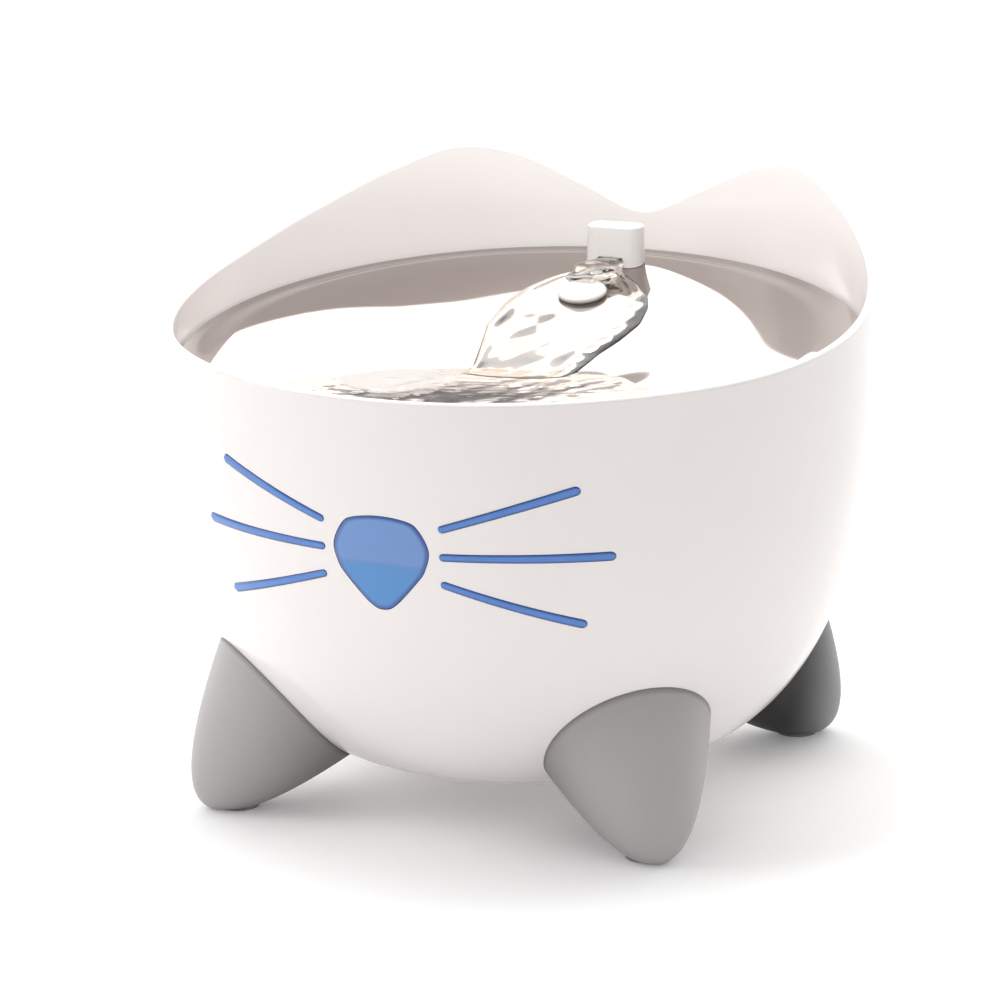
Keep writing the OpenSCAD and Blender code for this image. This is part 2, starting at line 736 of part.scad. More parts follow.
module dish_carrier() {
    low = dish_t + carrier_gap;
    bottom = dish_curve(low + carrier_t, carrier_shell_r);
    color("whitesmoke") difference() {
        union() {
            in_dish_frame() rotate_extrude()
                polygon(concat([[0, dish_crown], [carrier_r, dish_crown], [carrier_r, ledge_top],
                    [carrier_r - carrier_ring_w, ledge_top]],
                    [for (i = [dish_steps:-1:0]) bottom[i]]));
            in_dish_frame() translate([0, -drain_y, -skirt_depth])
                cylinder(r = skirt_r + skirt_t, h = skirt_depth);
        }
        in_dish_frame() rotate_extrude()
            polygon(concat(dish_curve(low, dish_curve_r), [[dish_curve_r, -dish_t],
                [dish_r + margin, -dish_t], [dish_r + margin, margin], [0, margin]]));
        in_dish_frame() translate([0, -drain_y, 0]) {
            translate([0, 0, -skirt_depth - 1])
                cylinder(r = skirt_r, h = skirt_depth + 1 - tray_rim_depth + stack_gap);
            translate([0, 0, -skirt_depth]) cylinder(r = skirt_r - skirt_seat_w, h = skirt_depth + margin);
        }
        riser_hole();
        button_hole(button_stem_r + set_gap);
    }
}

// Round button that the jet lands on; its stem clips the steel dish to the carrier
module deflector_button() {
    stem = dish_t + carrier_gap + carrier_t + button_clip_t + 1.4;
    edge = 1.2; // radius of the disc's rounded edge
    color("white") on_dish(button_y) {
        rotate_extrude() polygon(concat([[0, stack_gap], [button_r - edge, stack_gap]],
            [for (a = [-60:30:90]) [button_r - edge + edge * cos(a), button_t - edge + edge * sin(a)]],
            [[0, button_t]]));
        translate([0, 0, -stem]) cylinder(r = button_stem_r, h = stem + 1, $fn = 48);
    }
}

module button_clip() {
    top = dish_t + carrier_gap + carrier_t + free_gap;
    color("silver") on_dish(button_y) translate([0, 0, -top - button_clip_t]) difference() {
        cylinder(r = 2.2 * button_stem_r, h = button_clip_t, $fn = 48);
        translate([0, 0, -1]) cylinder(r = button_stem_r + run_fit, h = button_clip_t + 2, $fn = 48);
    }
}

// ---- spout and riser ----

module spout() {
    base = dish_plane_z - 2 * margin;
    color("white") difference() {
        translate([0, spout_y, base]) round_box(spout_w, spout_d, spout_top_z - base, spout_corner_r);
        below_dish(-set_gap, dish_curve_r, 8 * margin);
        translate([0, spout_y, base - 1]) cylinder(r = riser_r + run_fit, h = slot_z + 1 - base);
        translate([0, spout_y, base]) cylinder(r = riser_r + run_fit, h = slot_z + slot_h - base);
        translate([-slot_w / 2, spout_y - spout_d, slot_z]) cube([slot_w, spout_d, slot_h]);
    }
}

// A straight length of tube standing on z = 0
module tube(h) {
    difference() {
        cylinder(r = riser_r, h = h);
        translate([0, 0, -1]) cylinder(r = riser_bore_r, h = h + 2);
    }
}

// Places children at both ends of an elbow, z pointing out along the tube
module at_elbow_ends() {
    translate([riser_bend_r, 0, 0]) rotate([90, 0, 0]) children();
    rotate([0, 0, riser_lean]) translate([riser_bend_r, 0, 0]) rotate([-90, 0, 0]) children();
}

// Elbow with a push-in socket at each end, about its centre of bend
module elbow() {
    lip = 0.2; // how far a socket's wall overlaps the bend
    difference() {
        union() {
            rotate_extrude(angle = riser_lean) translate([riser_bend_r, 0]) circle(r = riser_r + elbow_t);
            at_elbow_ends() translate([0, 0, -lip]) cylinder(r = riser_r + socket_t, h = socket_l + lip);
        }
        rotate_extrude(angle = riser_lean) translate([riser_bend_r, 0]) circle(r = riser_bore_r);
        at_elbow_ends() translate([0, 0, -lip / 2])
            cylinder(r = riser_r + run_fit, h = socket_l + margin);
    }
}

module riser_tube() {
    color("lightgray") {
        translate([0, riser_y, riser_start_z]) tube(riser_bend_z - riser_start_z);
        translate([0, riser_y + riser_bend_r * (1 - cos(riser_lean)),
            riser_bend_z + riser_bend_r * sin(riser_lean)]) rotate([-riser_lean, 0, 0]) tube(riser_run);
        translate([0, spout_y, riser_high_z]) tube(riser_top_z - riser_high_z);
    }
}

module riser_elbows() {
    color("gray") {
        translate([0, riser_y + riser_bend_r, riser_bend_z]) rotate([90, 0, -90]) elbow();
        translate([0, spout_y - riser_bend_r, riser_high_z]) rotate([-90, 0, 90]) elbow();
    }
}

// ---- filter ----

module in_filter_frame(z) {
    in_dish_frame() translate([0, -drain_y, z]) children();
}

module filter_tray() {
    color("white") in_filter_frame(tray_floor) difference() {
        cylinder(r = tray_r, h = -tray_rim_depth - tray_floor);
        translate([0, 0, tray_t]) cylinder(r = tray_r - tray_t, h = -tray_floor);
        translate([0, 0, -1]) hole_field(flow_hole_r, flow_hole_pitch, tray_hole_rings, tray_t + 2);
    }
}

module filter_lid() {
    color("whitesmoke") in_filter_frame(lid_z) difference() {
        cylinder(r = tray_r - tray_t - set_gap, h = lid_t);
        translate([0, 0, -1]) hole_field(flow_hole_r, flow_hole_pitch, tray_hole_rings, lid_t + 2);
    }
}

module filter_disc(z, h) {
    in_filter_frame(z) cylinder(r = tray_r - tray_t - free_gap, h = h);
}

module filter_foam() { color("ghostwhite") filter_disc(foam_z, foam_t); }
module filter_carbon() { color("dimgray") filter_disc(carbon_z, carbon_t); }
module filter_resin() { color("khaki") filter_disc(resin_z, resin_t); }

// ---- pump ----

module in_pump_frame() {
    translate([0, pump_y, pump_z]) children();
}

module on_axis() {
    in_pump_frame() translate([0, 0, axis_z]) children();
}

module pump_housing() {
    color("gray") difference() {
        union() {
            in_pump_frame() difference() {
                round_box(pump_w, pump_d, pump_h, pump_corner_r);
                translate([-pump_w / 2 + pump_wall, cavity_front, pump_wall])
                    cube([pump_w - 2 * pump_wall, pump_d, pump_h - 2 * pump_wall]);
            }
            on_axis() bar_y(well_r + well_t, chamber_back + 1, well_back + well_t);
            in_pump_frame() translate([0, outlet_y, pump_h - 1]) cylinder(r = spigot_r, h = spigot_h + 1);
        }
        on_axis() bar_y(chamber_r, pump_front - 1, chamber_back);
        on_axis() bar_y(well_r, chamber_back - 1, well_back);
        in_pump_frame() translate([0, outlet_y, axis_z]) cylinder(r = spigot_r - spigot_t, h = pump_h);
        in_pump_frame() for (x = [-1, 1], y = [-1, 1]) translate([x * cup_x, y * cup_y, -1])
            cylinder(r = cup_stud_r + set_gap, h = 1 + cup_stud_h + set_gap);
    }
}

module impeller_cover() {
    color("dimgray") on_axis() difference() {
        bar_y(chamber_r - run_fit, pump_front, pump_front + cover_t);
        for (i = [0:5]) rotate([0, 60 * i, 0]) translate([6.6, 0, 0])
            bar_y(2.2, pump_front - 1, pump_front + cover_t + 1);
        bar_y(bush_r + run_fit, pump_front - 1, pump_front + cover_t + 1);
    }
}

module shaft_bushes() {
    color("black") on_axis() {
        difference() {
            bar_y(bush_r, pump_front, pump_front + bush_t);
            bar_y(shaft_r, pump_front - 1, pump_front + bush_t + 1);
        }
        difference() {
            bar_y(well_r, well_back - bush_t, well_back);
            bar_y(shaft_r, well_back - bush_t - 1, well_back + 1);
        }
    }
}

module impeller_shaft() {
    color("ivory") on_axis() bar_y(shaft_r, pump_front, well_back);
}

module impeller() {
    disc_back = chamber_back - free_gap;
    color("white") on_axis() difference() {
        union() {
            bar_y(hub_r, hub_front, hub_back);
            bar_y(blade_r, disc_back - blade_t, disc_back);
            for (i = [0:blade_count - 1]) rotate([0, 360 * i / blade_count, 0])
                translate([0, hub_front + stack_gap, -blade_t / 2])
                    cube([blade_r - 0.1, disc_back - hub_front - 2 * stack_gap, blade_t]);
        }
        bar_y(shaft_r + run_fit, hub_front - 1, hub_back + 1);
    }
}

module rotor_magnet() {
    color("darkslategray") on_axis() difference() {
        bar_y(well_r - end_play, chamber_back + free_gap, hub_back - free_gap);
        bar_y(hub_r, chamber_back - 1, hub_back + 1);
    }
}

module in_core_frame(z) {
    in_pump_frame() translate([0, core_y, z]) children();
}

module stator_core() {
    color("silver") difference() {
        in_core_frame(yoke_z) {
            translate([-core_w / 2, -core_d / 2, 0]) cube([core_w, core_d, yoke_h]);
            for (x = [-core_w / 2, core_w / 2 - arm_w])
                translate([x, -core_d / 2, 0]) cube([arm_w, core_d, arm_top - yoke_z]);
        }
        on_axis() bar_y(well_r + well_t + set_gap, -pump_d, pump_d);
    }
}

module coil_box(w, grow, h_grow) {
    translate([-w / 2, -core_d / 2 - grow, -h_grow])
        cube([w, core_d + 2 * grow, yoke_h + 2 * h_grow]);
}

module coil_bobbin() {
    color("ivory") in_core_frame(yoke_z) difference() {
        union() {
            coil_box(coil_w, bobbin_t + core_fit, bobbin_t + core_fit);
            for (x = [-1, 1]) translate([x * (coil_w / 2 - bobbin_t / 2), 0, 0])
                coil_box(bobbin_t, bobbin_flange, bobbin_flange_h);
        }
        coil_box(coil_w + 2, core_fit, core_fit);
    }
}

module coil_winding() {
    color("peru") in_core_frame(yoke_z) difference() {
        coil_box(coil_w - 2 * (bobbin_t + core_fit), bobbin_flange - 0.3, bobbin_flange_h - 0.3);
        coil_box(coil_w, bobbin_t + core_fit, bobbin_t + core_fit);
    }
}

module motor_cap() {
    in = pump_wall + set_gap;
    color("dimgray") in_pump_frame() {
        translate([-pump_w / 2 + in, pump_d / 2 - cap_t, in])
            cube([pump_w - 2 * in, cap_t, pump_h - 2 * in]);
        translate([0, 0, axis_z + 5]) bar_y(cable_boss_r, pump_d / 2 - 1, pump_d / 2 + cable_boss_l);
    }
}

module suction_cups() {
    color("lightgray") in_pump_frame() for (x = [-1, 1], y = [-1, 1])
        translate([x * cup_x, y * cup_y, 0]) difference() {
            union() {
                translate([0, 0, -cup_h]) rotate_extrude()
                    polygon([[0, 0], [cup_r, 0], [cup_r, 0.8], [cup_neck_r, cup_h - 0.8],
                        [cup_neck_r, cup_h], [0, cup_h]]);
                translate([0, 0, -over]) cylinder(r = cup_stud_r, h = over + cup_stud_h);
            }
            translate([0, 0, -cup_h - 1]) cylinder(r = cup_r - 1.4, h = 1.8);
        }
}

module pump_grille() {
    pitch = (pump_w - 8) / grille_slots;
    color("gray") in_pump_frame() difference() {
        translate([0, grille_front + grille_d / 2, 0])
            round_box(pump_w, grille_d, pump_h, pump_corner_r);
        translate([-pump_w / 2 + grille_t, grille_front + grille_t, grille_t])
            cube([pump_w - 2 * grille_t, grille_d, pump_h - 2 * grille_t]);
        for (i = [0:grille_slots - 1], z = [[4, axis_z - knob_r + 1], [axis_z + knob_r - 1.4, pump_h - 3.4]])
            translate([(i - (grille_slots - 1) / 2) * pitch - slot_gap_w / 2, grille_front - 1, z[0]])
                cube([slot_gap_w, grille_t + 2, z[1] - z[0]]);
        translate([0, 0, axis_z])
            bar_y(bush_r + run_fit, grille_front - 1, grille_front + grille_t + 1);
    }
}

module prefilter_sponge() {
    in = grille_t + free_gap;
    front = grille_front + grille_t + shutter_t + 2 * free_gap;
    color("black") in_pump_frame() translate([-pump_w / 2 + in, front, in])
        cube([pump_w - 2 * in, pump_front - free_gap - front, pump_h - 2 * in]);
}

// Dial with a grip bar outside, and a two-winged shutter behind the slots
module flow_knob() {
    face = grille_front - stack_gap;
    back = grille_front + grille_t + stack_gap;
    grip_w = 2.4;
    grip_h = 1.8;
    wing_w = 2 * knob_r; // width of the shutter's two wings, above and below the axis
    color("steelblue") on_axis() {
        bar_y(knob_r, face - knob_t, face);
        translate([-grip_w / 2, face - knob_t - grip_h, -knob_r + 0.6])
            cube([grip_w, grip_h + 1, 2 * knob_r - 1.2]);
        bar_y(bush_r, face - 1, back + 1);
        difference() {
            bar_y(shutter_r, back, back + shutter_t);
            for (x = [-1, 1]) translate([x * (wing_w / 2 + knob_r), back + 1, 0])
                cube([2 * knob_r, 4, 4 * knob_r], center = true);
        }
    }
}

bowl();
nose_window();
nose_gasket();
whisker_left_upper();
whisker_left_middle();
whisker_left_lower();
whisker_right_upper();
whisker_right_middle();
whisker_right_lower();
foot_front_left();
foot_front_right();
foot_rear_left();
foot_rear_right();
foot_pads();
foot_screws();
cable_grommet();
drinking_dish();
dish_carrier();
deflector_button();
button_clip();
spout();
riser_tube();
riser_elbows();
filter_tray();
filter_lid();
filter_foam();
filter_carbon();
filter_resin();
pump_housing();
impeller_cover();
pump_grille();
prefilter_sponge();
flow_knob();
impeller();
rotor_magnet();
impeller_shaft();
shaft_bushes();
stator_core();
coil_bobbin();
coil_winding();
motor_cap();
suction_cups();
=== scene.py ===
import math
import bpy
import numpy as np
from mathutils import Matrix


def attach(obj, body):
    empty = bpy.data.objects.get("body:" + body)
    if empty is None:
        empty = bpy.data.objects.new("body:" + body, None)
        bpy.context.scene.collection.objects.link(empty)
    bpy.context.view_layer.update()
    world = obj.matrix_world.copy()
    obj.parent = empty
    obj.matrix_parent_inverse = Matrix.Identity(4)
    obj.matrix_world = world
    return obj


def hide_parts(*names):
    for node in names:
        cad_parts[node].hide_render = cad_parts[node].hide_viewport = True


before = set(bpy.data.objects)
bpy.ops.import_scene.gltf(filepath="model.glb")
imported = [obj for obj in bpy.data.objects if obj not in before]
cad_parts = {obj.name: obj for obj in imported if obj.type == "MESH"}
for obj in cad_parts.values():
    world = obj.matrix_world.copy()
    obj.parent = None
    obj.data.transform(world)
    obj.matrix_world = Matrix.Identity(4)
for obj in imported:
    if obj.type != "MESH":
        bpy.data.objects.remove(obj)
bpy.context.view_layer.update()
mm = 0.001
print("frame loaded:", len(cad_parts), "nodes")

# the camera orbits the object's axis; lengths in metres, angles in degrees
view = dict(width=1000, focal=4410.288, distance=1.515229, elevation=13.498, azimuth=22.303,
            pan=-0.259, tilt=0.031, aimHeight=0.096721, sensor=36.0)


def placeCamera(v):
    # orbits the aim point, looks at it, then turns by a small pan and tilt
    el, az = math.radians(v["elevation"]), math.radians(v["azimuth"])
    back = np.array([math.sin(az) * math.cos(el), -math.cos(az) * math.cos(el), math.sin(el)])
    right = np.array([math.cos(az), math.sin(az), 0.0])
    up = np.cross(back, right)
    place = np.array([0.0, 0.0, v["aimHeight"]]) + back * v["distance"]
    c, s = math.cos(math.radians(v["pan"])), math.sin(math.radians(v["pan"]))
    right, back = c * right + s * back, -s * right + c * back
    c, s = math.cos(math.radians(v["tilt"])), math.sin(math.radians(v["tilt"]))
    up, back = c * up + s * back, -s * up + c * back
    lens = bpy.data.cameras.new("camera")
    lens.sensor_width = v["sensor"]
    lens.lens = v["focal"] * v["sensor"] / v["width"]
    lens.clip_end = 50
    camera = bpy.data.objects.new("camera", lens)
    bpy.context.scene.collection.objects.link(camera)
    camera.matrix_world = Matrix([[*row, p] for row, p in zip(np.stack([right, up, back], 1), place)]
                                 + [[0, 0, 0, 1]])
    bpy.context.scene.camera = camera


placeCamera(view)


class Wire:
    # one output of a node; arithmetic on it adds Math nodes
    def __init__(self, sheet, socket):
        self.sheet, self.socket = sheet, socket

    def math(self, kind, first, *others):
        return self.sheet.add("ShaderNodeMath", {"operation": kind}, dict(enumerate((first, *others))))

    def __add__(self, other): return self.math("ADD", self, other)
    def __radd__(self, other): return self.math("ADD", other, self)
    def __sub__(self, other): return self.math("SUBTRACT", self, other)
    def __rsub__(self, other): return self.math("SUBTRACT", other, self)
    def __mul__(self, other): return self.math("MULTIPLY", self, other)
    def __rmul__(self, other): return self.math("MULTIPLY", other, self)
    def __pow__(self, other): return self.math("POWER", self, other)
    def sin(self): return self.math("SINE", self)
    def size(self): return self.math("ABSOLUTE", self)

    def rise(self, low, high, start=0.0, end=1.0):
        # goes smoothly from start to end as the value goes from low to high
        return self.sheet.add("ShaderNodeMapRange", {"interpolation_type": "SMOOTHSTEP"},
                              {0: self, 1: low, 2: high, 3: start, 4: end})


class Sheet:
    # the node tree of one material or of the world
    def __init__(self, owner):
        owner.use_nodes = True
        self.owner, self.tree = owner, owner.node_tree
        self.tree.nodes.clear()

    def add(self, kind, settings=None, values=None, out=0):
        # a node of any type: its settings first, then the values or links of its sockets
        node = self.tree.nodes.new(kind)
        for key, value in (settings or {}).items():
            setattr(node, key, value)
        for key, value in (values or {}).items():
            if isinstance(value, Wire):
                self.tree.links.new(value.socket, node.inputs[key])
            else:
                node.inputs[key].default_value = value
        return Wire(self, node.outputs[out]) if node.outputs else None

    def place(self):
        return self.add("ShaderNodeTexCoord", out="Object")

    def axes(self, vector=None):
        split = self.add("ShaderNodeSeparateXYZ", {}, {0: vector or self.place()})
        return [Wire(self, split.socket.node.outputs[i]) for i in range(3)]

    def stretched(self, scale):
        return self.add("ShaderNodeMapping", {}, {0: self.place(), 3: scale})

    def noise(self, scale, detail=3.0, roughness=0.5, stretch=None):
        vector = self.stretched(stretch) if stretch else self.place()
        return self.add("ShaderNodeTexNoise", {}, {"Vector": vector, "Scale": scale, "Detail": detail,
                                                   "Roughness": roughness})

    def mix(self, factor, a, b):
        colours = [(*c, 1) if isinstance(c, tuple) else c for c in (a, b)]
        return self.add("ShaderNodeMix", {"data_type": "RGBA"}, {0: factor, 6: colours[0], 7: colours[1]},
                        out=2)

    def bump(self, height, depth):
        return self.add("ShaderNodeBump", {}, {"Strength": 1.0, "Distance": depth, "Height": height})

    def finish(self, values):
        shader = self.add("ShaderNodeBsdfPrincipled", {}, values)
        self.add("ShaderNodeOutputMaterial", {}, {0: shader})
        return self.owner


def newSheet(name):
    return Sheet(bpy.data.materials.new(name))


# reach is the distance from the object's axis over which a foot's colour goes down to its painted-shade
# share: painted shade toward the bowl's middle and underside
plasticFinishes = dict(
    bowlWhite=dict(colour=(0.84, 0.80, 0.785), tone=0.985, roughness=0.16, grain=0.0004, coat=0.25),
    spoutWhite=dict(colour=(0.80, 0.775, 0.755), tone=0.97, roughness=0.24, grain=0.0003, coat=0.15),
    carrierWhite=dict(colour=(0.80, 0.79, 0.78), tone=0.96, roughness=0.42, grain=0.0006, coat=0.0),
    trayWhite=dict(colour=(0.78, 0.79, 0.80), tone=0.95, roughness=0.45, grain=0.0006, coat=0.0),
    footGrey=dict(colour=(0.42, 0.40, 0.402), tone=0.96, roughness=0.5, grain=0.0006, coat=0.0,
                  shadeShare=0.25, reach=(0.062, 0.116)),
    # the rear feet's grey is a darker copy of the foot grey: painted shade for feet standing in the bowl's
    # shade
    rearShadedGrey=dict(colour=(0.27, 0.265, 0.27), tone=0.96, roughness=0.5, grain=0.0006, coat=0.0,
                  shadeShare=0.06, reach=(0.098, 0.124)),
    pumpGrey=dict(colour=(0.055, 0.058, 0.062), tone=0.85, roughness=0.42, grain=0.001, coat=0.0),
    coverDark=dict(colour=(0.022, 0.022, 0.024), tone=0.8, roughness=0.38, grain=0.0008, coat=0.0),
    knobBlue=dict(colour=(0.10, 0.24, 0.58), tone=0.92, roughness=0.22, grain=0.0004, coat=0.3),
    rotorWhite=dict(colour=(0.80, 0.80, 0.76), tone=0.95, roughness=0.4, grain=0.0006, coat=0.0))
rubberFinishes = dict(
    sealRubber=dict(colour=(0.27, 0.28, 0.29), roughness=0.62, grain=0.0015),
    padRubber=dict(colour=(0.20, 0.195, 0.195), roughness=0.75, grain=0.002),
    cupRubber=dict(colour=(0.42, 0.43, 0.44), roughness=0.5, grain=0.001),
    tubeSilicone=dict(colour=(0.50, 0.51, 0.52), roughness=0.35, grain=0.0006))
metalFinishes = dict(
    screwSteel=dict(colour=(0.58, 0.57, 0.56), roughness=0.26, stretch=(1, 1, 30), marks=0.12),
    coreSteel=dict(colour=(0.33, 0.33, 0.34), roughness=0.45, stretch=(1, 60, 1), marks=0.35),
    magnetFerrite=dict(colour=(0.035, 0.035, 0.037), roughness=0.55, stretch=(1, 1, 1), marks=0.2))


def plastic(name, p):
    # moulded plastic: faint tone drift, slightly uneven gloss and a fine moulded grain; for the feet also
    # painted shade toward the object's axis
    look = newSheet(name)
    tint = look.noise(14, 2).rise(0.35, 0.65)
    fine = look.noise(900, 2)
    base = look.mix(tint, tuple(c * p["tone"] for c in p["colour"]), p["colour"])
    if "shadeShare" in p:
        # painted shade: darker toward the axis of the object, where the bowl shades the feet
        x, y, z = look.axes()
        deep = ((x ** 2 + y ** 2) ** 0.5).rise(*p["reach"], 1.0, 0.0)
        base = look.mix(deep, base, tuple(c * p["shadeShare"] for c in p["colour"]))
    return look.finish({"Base Color": base, "Roughness": p["roughness"] + 0.05 * look.noise(60, 4),
                        "Coat Weight": p["coat"], "Coat Roughness": 0.04,
                        "Normal": look.bump(fine, p["grain"] * 0.02)})


def rubber(name, p):
    # soft rubber: dusty, matt, with a fine skin texture
    look = newSheet(name)
    dust = look.noise(90, 5).rise(0.45, 0.75)
    base = look.mix(dust, p["colour"], tuple(min(1, c * 1.35 + 0.01) for c in p["colour"]))
    return look.finish({"Base Color": base, "Roughness": p["roughness"] + 0.15 * dust,
                        "Normal": look.bump(look.noise(1400, 3), p["grain"] * 0.05)})


def metal(name, p):
    # metal with drawn or ground marks along one direction
    look = newSheet(name)
    marks = look.noise(160, 4, 0.6, p["stretch"])
    base = look.mix(marks, tuple(c * (1 - p["marks"]) for c in p["colour"]), p["colour"])
    return look.finish({"Base Color": base, "Metallic": 1.0, "Roughness": p["roughness"] + 0.12 * marks,
                        "Normal": look.bump(marks, 0.00002)})


finishes = {name: plastic(name, p) for name, p in plasticFinishes.items()}
finishes.update({name: rubber(name, p) for name, p in rubberFinishes.items()})
finishes.update({name: metal(name, p) for name, p in metalFinishes.items()})

dishSteel = dict(colour=(0.37, 0.322, 0.30), roughness=0.04, spin=520)


def spunSteel(p):
    # polished steel: nearly a mirror, with faint spinning rings about the dish's axis
    look = newSheet("dishSteel")
    x, y, z = look.axes()
    radius = (x ** 2 + y ** 2) ** 0.5
    rings = (radius * p["spin"] * math.tau).sin()
    haze = look.noise(30, 4).rise(0.4, 0.7)
    return look.finish({"Base Color": p["colour"] + (1,), "Metallic": 1.0,
                        "Roughness": p["roughness"] + 0.015 * haze + 0.003 * rings,
                        "Normal": look.bump(look.noise(9, 2), 0.00002)})


# edge is painted shade for the dark outline round the window
windowBlue = dict(deep=(0.062, 0.24, 0.56), bright=(0.13, 0.26, 0.56), edge=(0.04, 0.11, 0.36),
                  streak=(0.10, 0.22, 0.52), waterLine=0.1026, sway=0.004, waves=900, waveDrift=26,
                  waveLean=60, roughness=0.12)


def blueWindow(p):
    # blue, deeper below the water line, paler above it with thin wavy streaks, with painted shade darkening
    # the rounded edge
    look = newSheet("windowBlue")
    x, y, z = look.axes()
    drift = look.noise(26, 3, 0.6, (1, 1, 0.6))
    level = z - p["waterLine"] + (drift - 0.5) * p["sway"]
    above = level.rise(-0.0006, 0.0006)
    waves = (z * p["waves"] + drift * p["waveDrift"] + x * p["waveLean"]).sin().size()
    streaks = waves.rise(0.0, 0.16, 1.0, 0.0) * look.noise(60, 3).rise(0.45, 0.6) * above
    line = level.size().rise(0.0, 0.0011, 0.75, 0.0)
    body = look.mix(above, p["deep"], p["bright"])
    body = look.mix(streaks * 0.6 + line, body, p["streak"])
    # painted shade toward the window's rounded edge
    across = look.add("ShaderNodeAttribute", {"attribute_name": "across"}, out="Fac")
    base = look.mix(across.rise(0.88, 0.97), body, p["edge"])
    return look.finish({"Base Color": base, "Roughness": p["roughness"], "Coat Weight": 0.4,
                        "Coat Roughness": 0.03})


# middle is the painted highlight along each bar's crown, side the painted shade toward its edges
whiskerBlue = dict(middle=(0.075, 0.215, 0.57), side=(0.03, 0.105, 0.40), roughness=0.16)


def blueBar(p):
    # glossy blue inlay with a painted highlight along its crown and painted shade toward its sides
    look = newSheet("whiskerBlue")
    across = look.add("ShaderNodeAttribute", {"attribute_name": "across"}, out="Fac")
    base = look.mix(across.rise(0.35, 0.95), p["middle"], p["side"])
    tone = look.noise(70, 3).rise(0.4, 0.7)
    return look.finish({"Base Color": look.mix(tone * 0.2, base, p["side"]), "Roughness": p["roughness"],
                        "Coat Weight": 0.25, "Coat Roughness": 0.04})


water = dict(tint=(0.97, 0.93, 0.89), roughness=0.0, index=1.333)


def clearWater(p, name="clearWater", ripple=None):
    # clear water with ripples finer than its mesh
    look = newSheet(name)
    values = {"Base Color": p["tint"] + (1,), "Roughness": p["roughness"], "IOR": p["index"],
              "Transmission Weight": 1.0}
    if ripple:
        values["Normal"] = look.bump(look.noise(ripple["scale"], 1, 0.5, ripple["stretch"]), ripple["depth"])
    return look.finish(values)


# dark is painted shade in the pores
fibre = dict(foamWhite=dict(colour=(0.72, 0.74, 0.76), dark=(0.42, 0.44, 0.46), scale=900),
             carbonDark=dict(colour=(0.018, 0.018, 0.02), dark=(0.004, 0.004, 0.005), scale=700),
             spongeBlack=dict(colour=(0.014, 0.014, 0.016), dark=(0.002, 0.002, 0.002), scale=420))


def porous(name, p):
    # open-cell foam or fibre: pale walls, with painted shade darkening the pores between them
    look = newSheet(name)
    cells = look.add("ShaderNodeTexVoronoi", {"feature": "DISTANCE_TO_EDGE"},
                     {"Vector": look.place(), "Scale": p["scale"]})
    walls = cells.rise(0.02, 0.12, 1.0, 0.0)
    return look.finish({"Base Color": look.mix(walls, p["dark"], p["colour"]), "Roughness": 0.92,
                        "Normal": look.bump(walls, 0.0006)})


# gap is painted shade between the beads
resinAmber = dict(gap=(0.18, 0.085, 0.02), dark=(0.50, 0.26, 0.055), pale=(0.68, 0.42, 0.12), scale=900)


def resinBeads(p):
    # round softener beads in a thin bag, with painted shade in the gaps between them
    look = newSheet("resinAmber")
    beads = look.add("ShaderNodeTexVoronoi", {"feature": "F1"}, {"Vector": look.place(), "Scale": p["scale"]})
    dome = beads.rise(0.0, 0.55, 1.0, 0.0)
    tone = look.noise(500, 2).rise(0.35, 0.65)
    base = look.mix(tone, p["dark"], p["pale"])
    return look.finish({"Base Color": look.mix(dome, p["gap"], base), "Roughness": 0.35,
                        "Normal": look.bump(dome, 0.0005)})


# the groove colour is painted shade between the turns
coilCopper = dict(shadedGroove=(0.20, 0.055, 0.012), crown=(0.62, 0.22, 0.07), turns=1800)


def copperWire(p):
    # enamelled wire wound round the bobbin: turns side by side along X, with painted shade in the grooves
    # between them
    look = newSheet("coilCopper")
    x, y, z = look.axes()
    turns = (x * math.tau * p["turns"]).sin()
    base = look.mix(turns.rise(-1, 1), p["shadedGroove"], p["crown"])
    return look.finish({"Base Color": base, "Metallic": 0.85, "Roughness": 0.3,
                        "Normal": look.bump(turns, 0.0001)})


poolRipple = dict(scale=70, stretch=(1, 1.4, 1), depth=0.00008)
streamRipple = dict(scale=60, stretch=(1.4, 0.6, 1), depth=0.00008)
finishes.update(dishSteel=spunSteel(dishSteel), windowBlue=blueWindow(windowBlue),
                whiskerBlue=blueBar(whiskerBlue), resinAmber=resinBeads(resinAmber),
                coilCopper=copperWire(coilCopper), clearWater=clearWater(water),
                poolWater=clearWater(water, "poolWater", poolRipple),
                streamWater=clearWater(water, "streamWater", streamRipple))
finishes.update({name: porous(name, p) for name, p in fibre.items()})

nodeFinishes = dict(
    nose_gasket="sealRubber", foot_pads="padRubber", foot_screws="screwSteel", cable_grommet="sealRubber",
    dish_carrier="carrierWhite", button_clip="screwSteel", riser_tube="tubeSilicone",
    riser_elbows="tubeSilicone", filter_tray="trayWhite", filter_lid="trayWhite", filter_foam="foamWhite",
    filter_carbon="carbonDark", filter_resin="resinAmber", pump_housing="pumpGrey",
    impeller_cover="coverDark", pump_grille="pumpGrey", prefilter_sponge="spongeBlack",
    flow_knob="knobBlue", impeller="rotorWhite", rotor_magnet="magnetFerrite",
    impeller_shaft="screwSteel", shaft_bushes="padRubber", stator_core="coreSteel",
    coil_bobbin="rotorWhite", coil_winding="coilCopper", motor_cap="coverDark", suction_cups="cupRubber")
for node, name in nodeFinishes.items():
    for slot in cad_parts[node].material_slots:
        slot.material = finishes[name]
print("finishes made:", len(finishes))


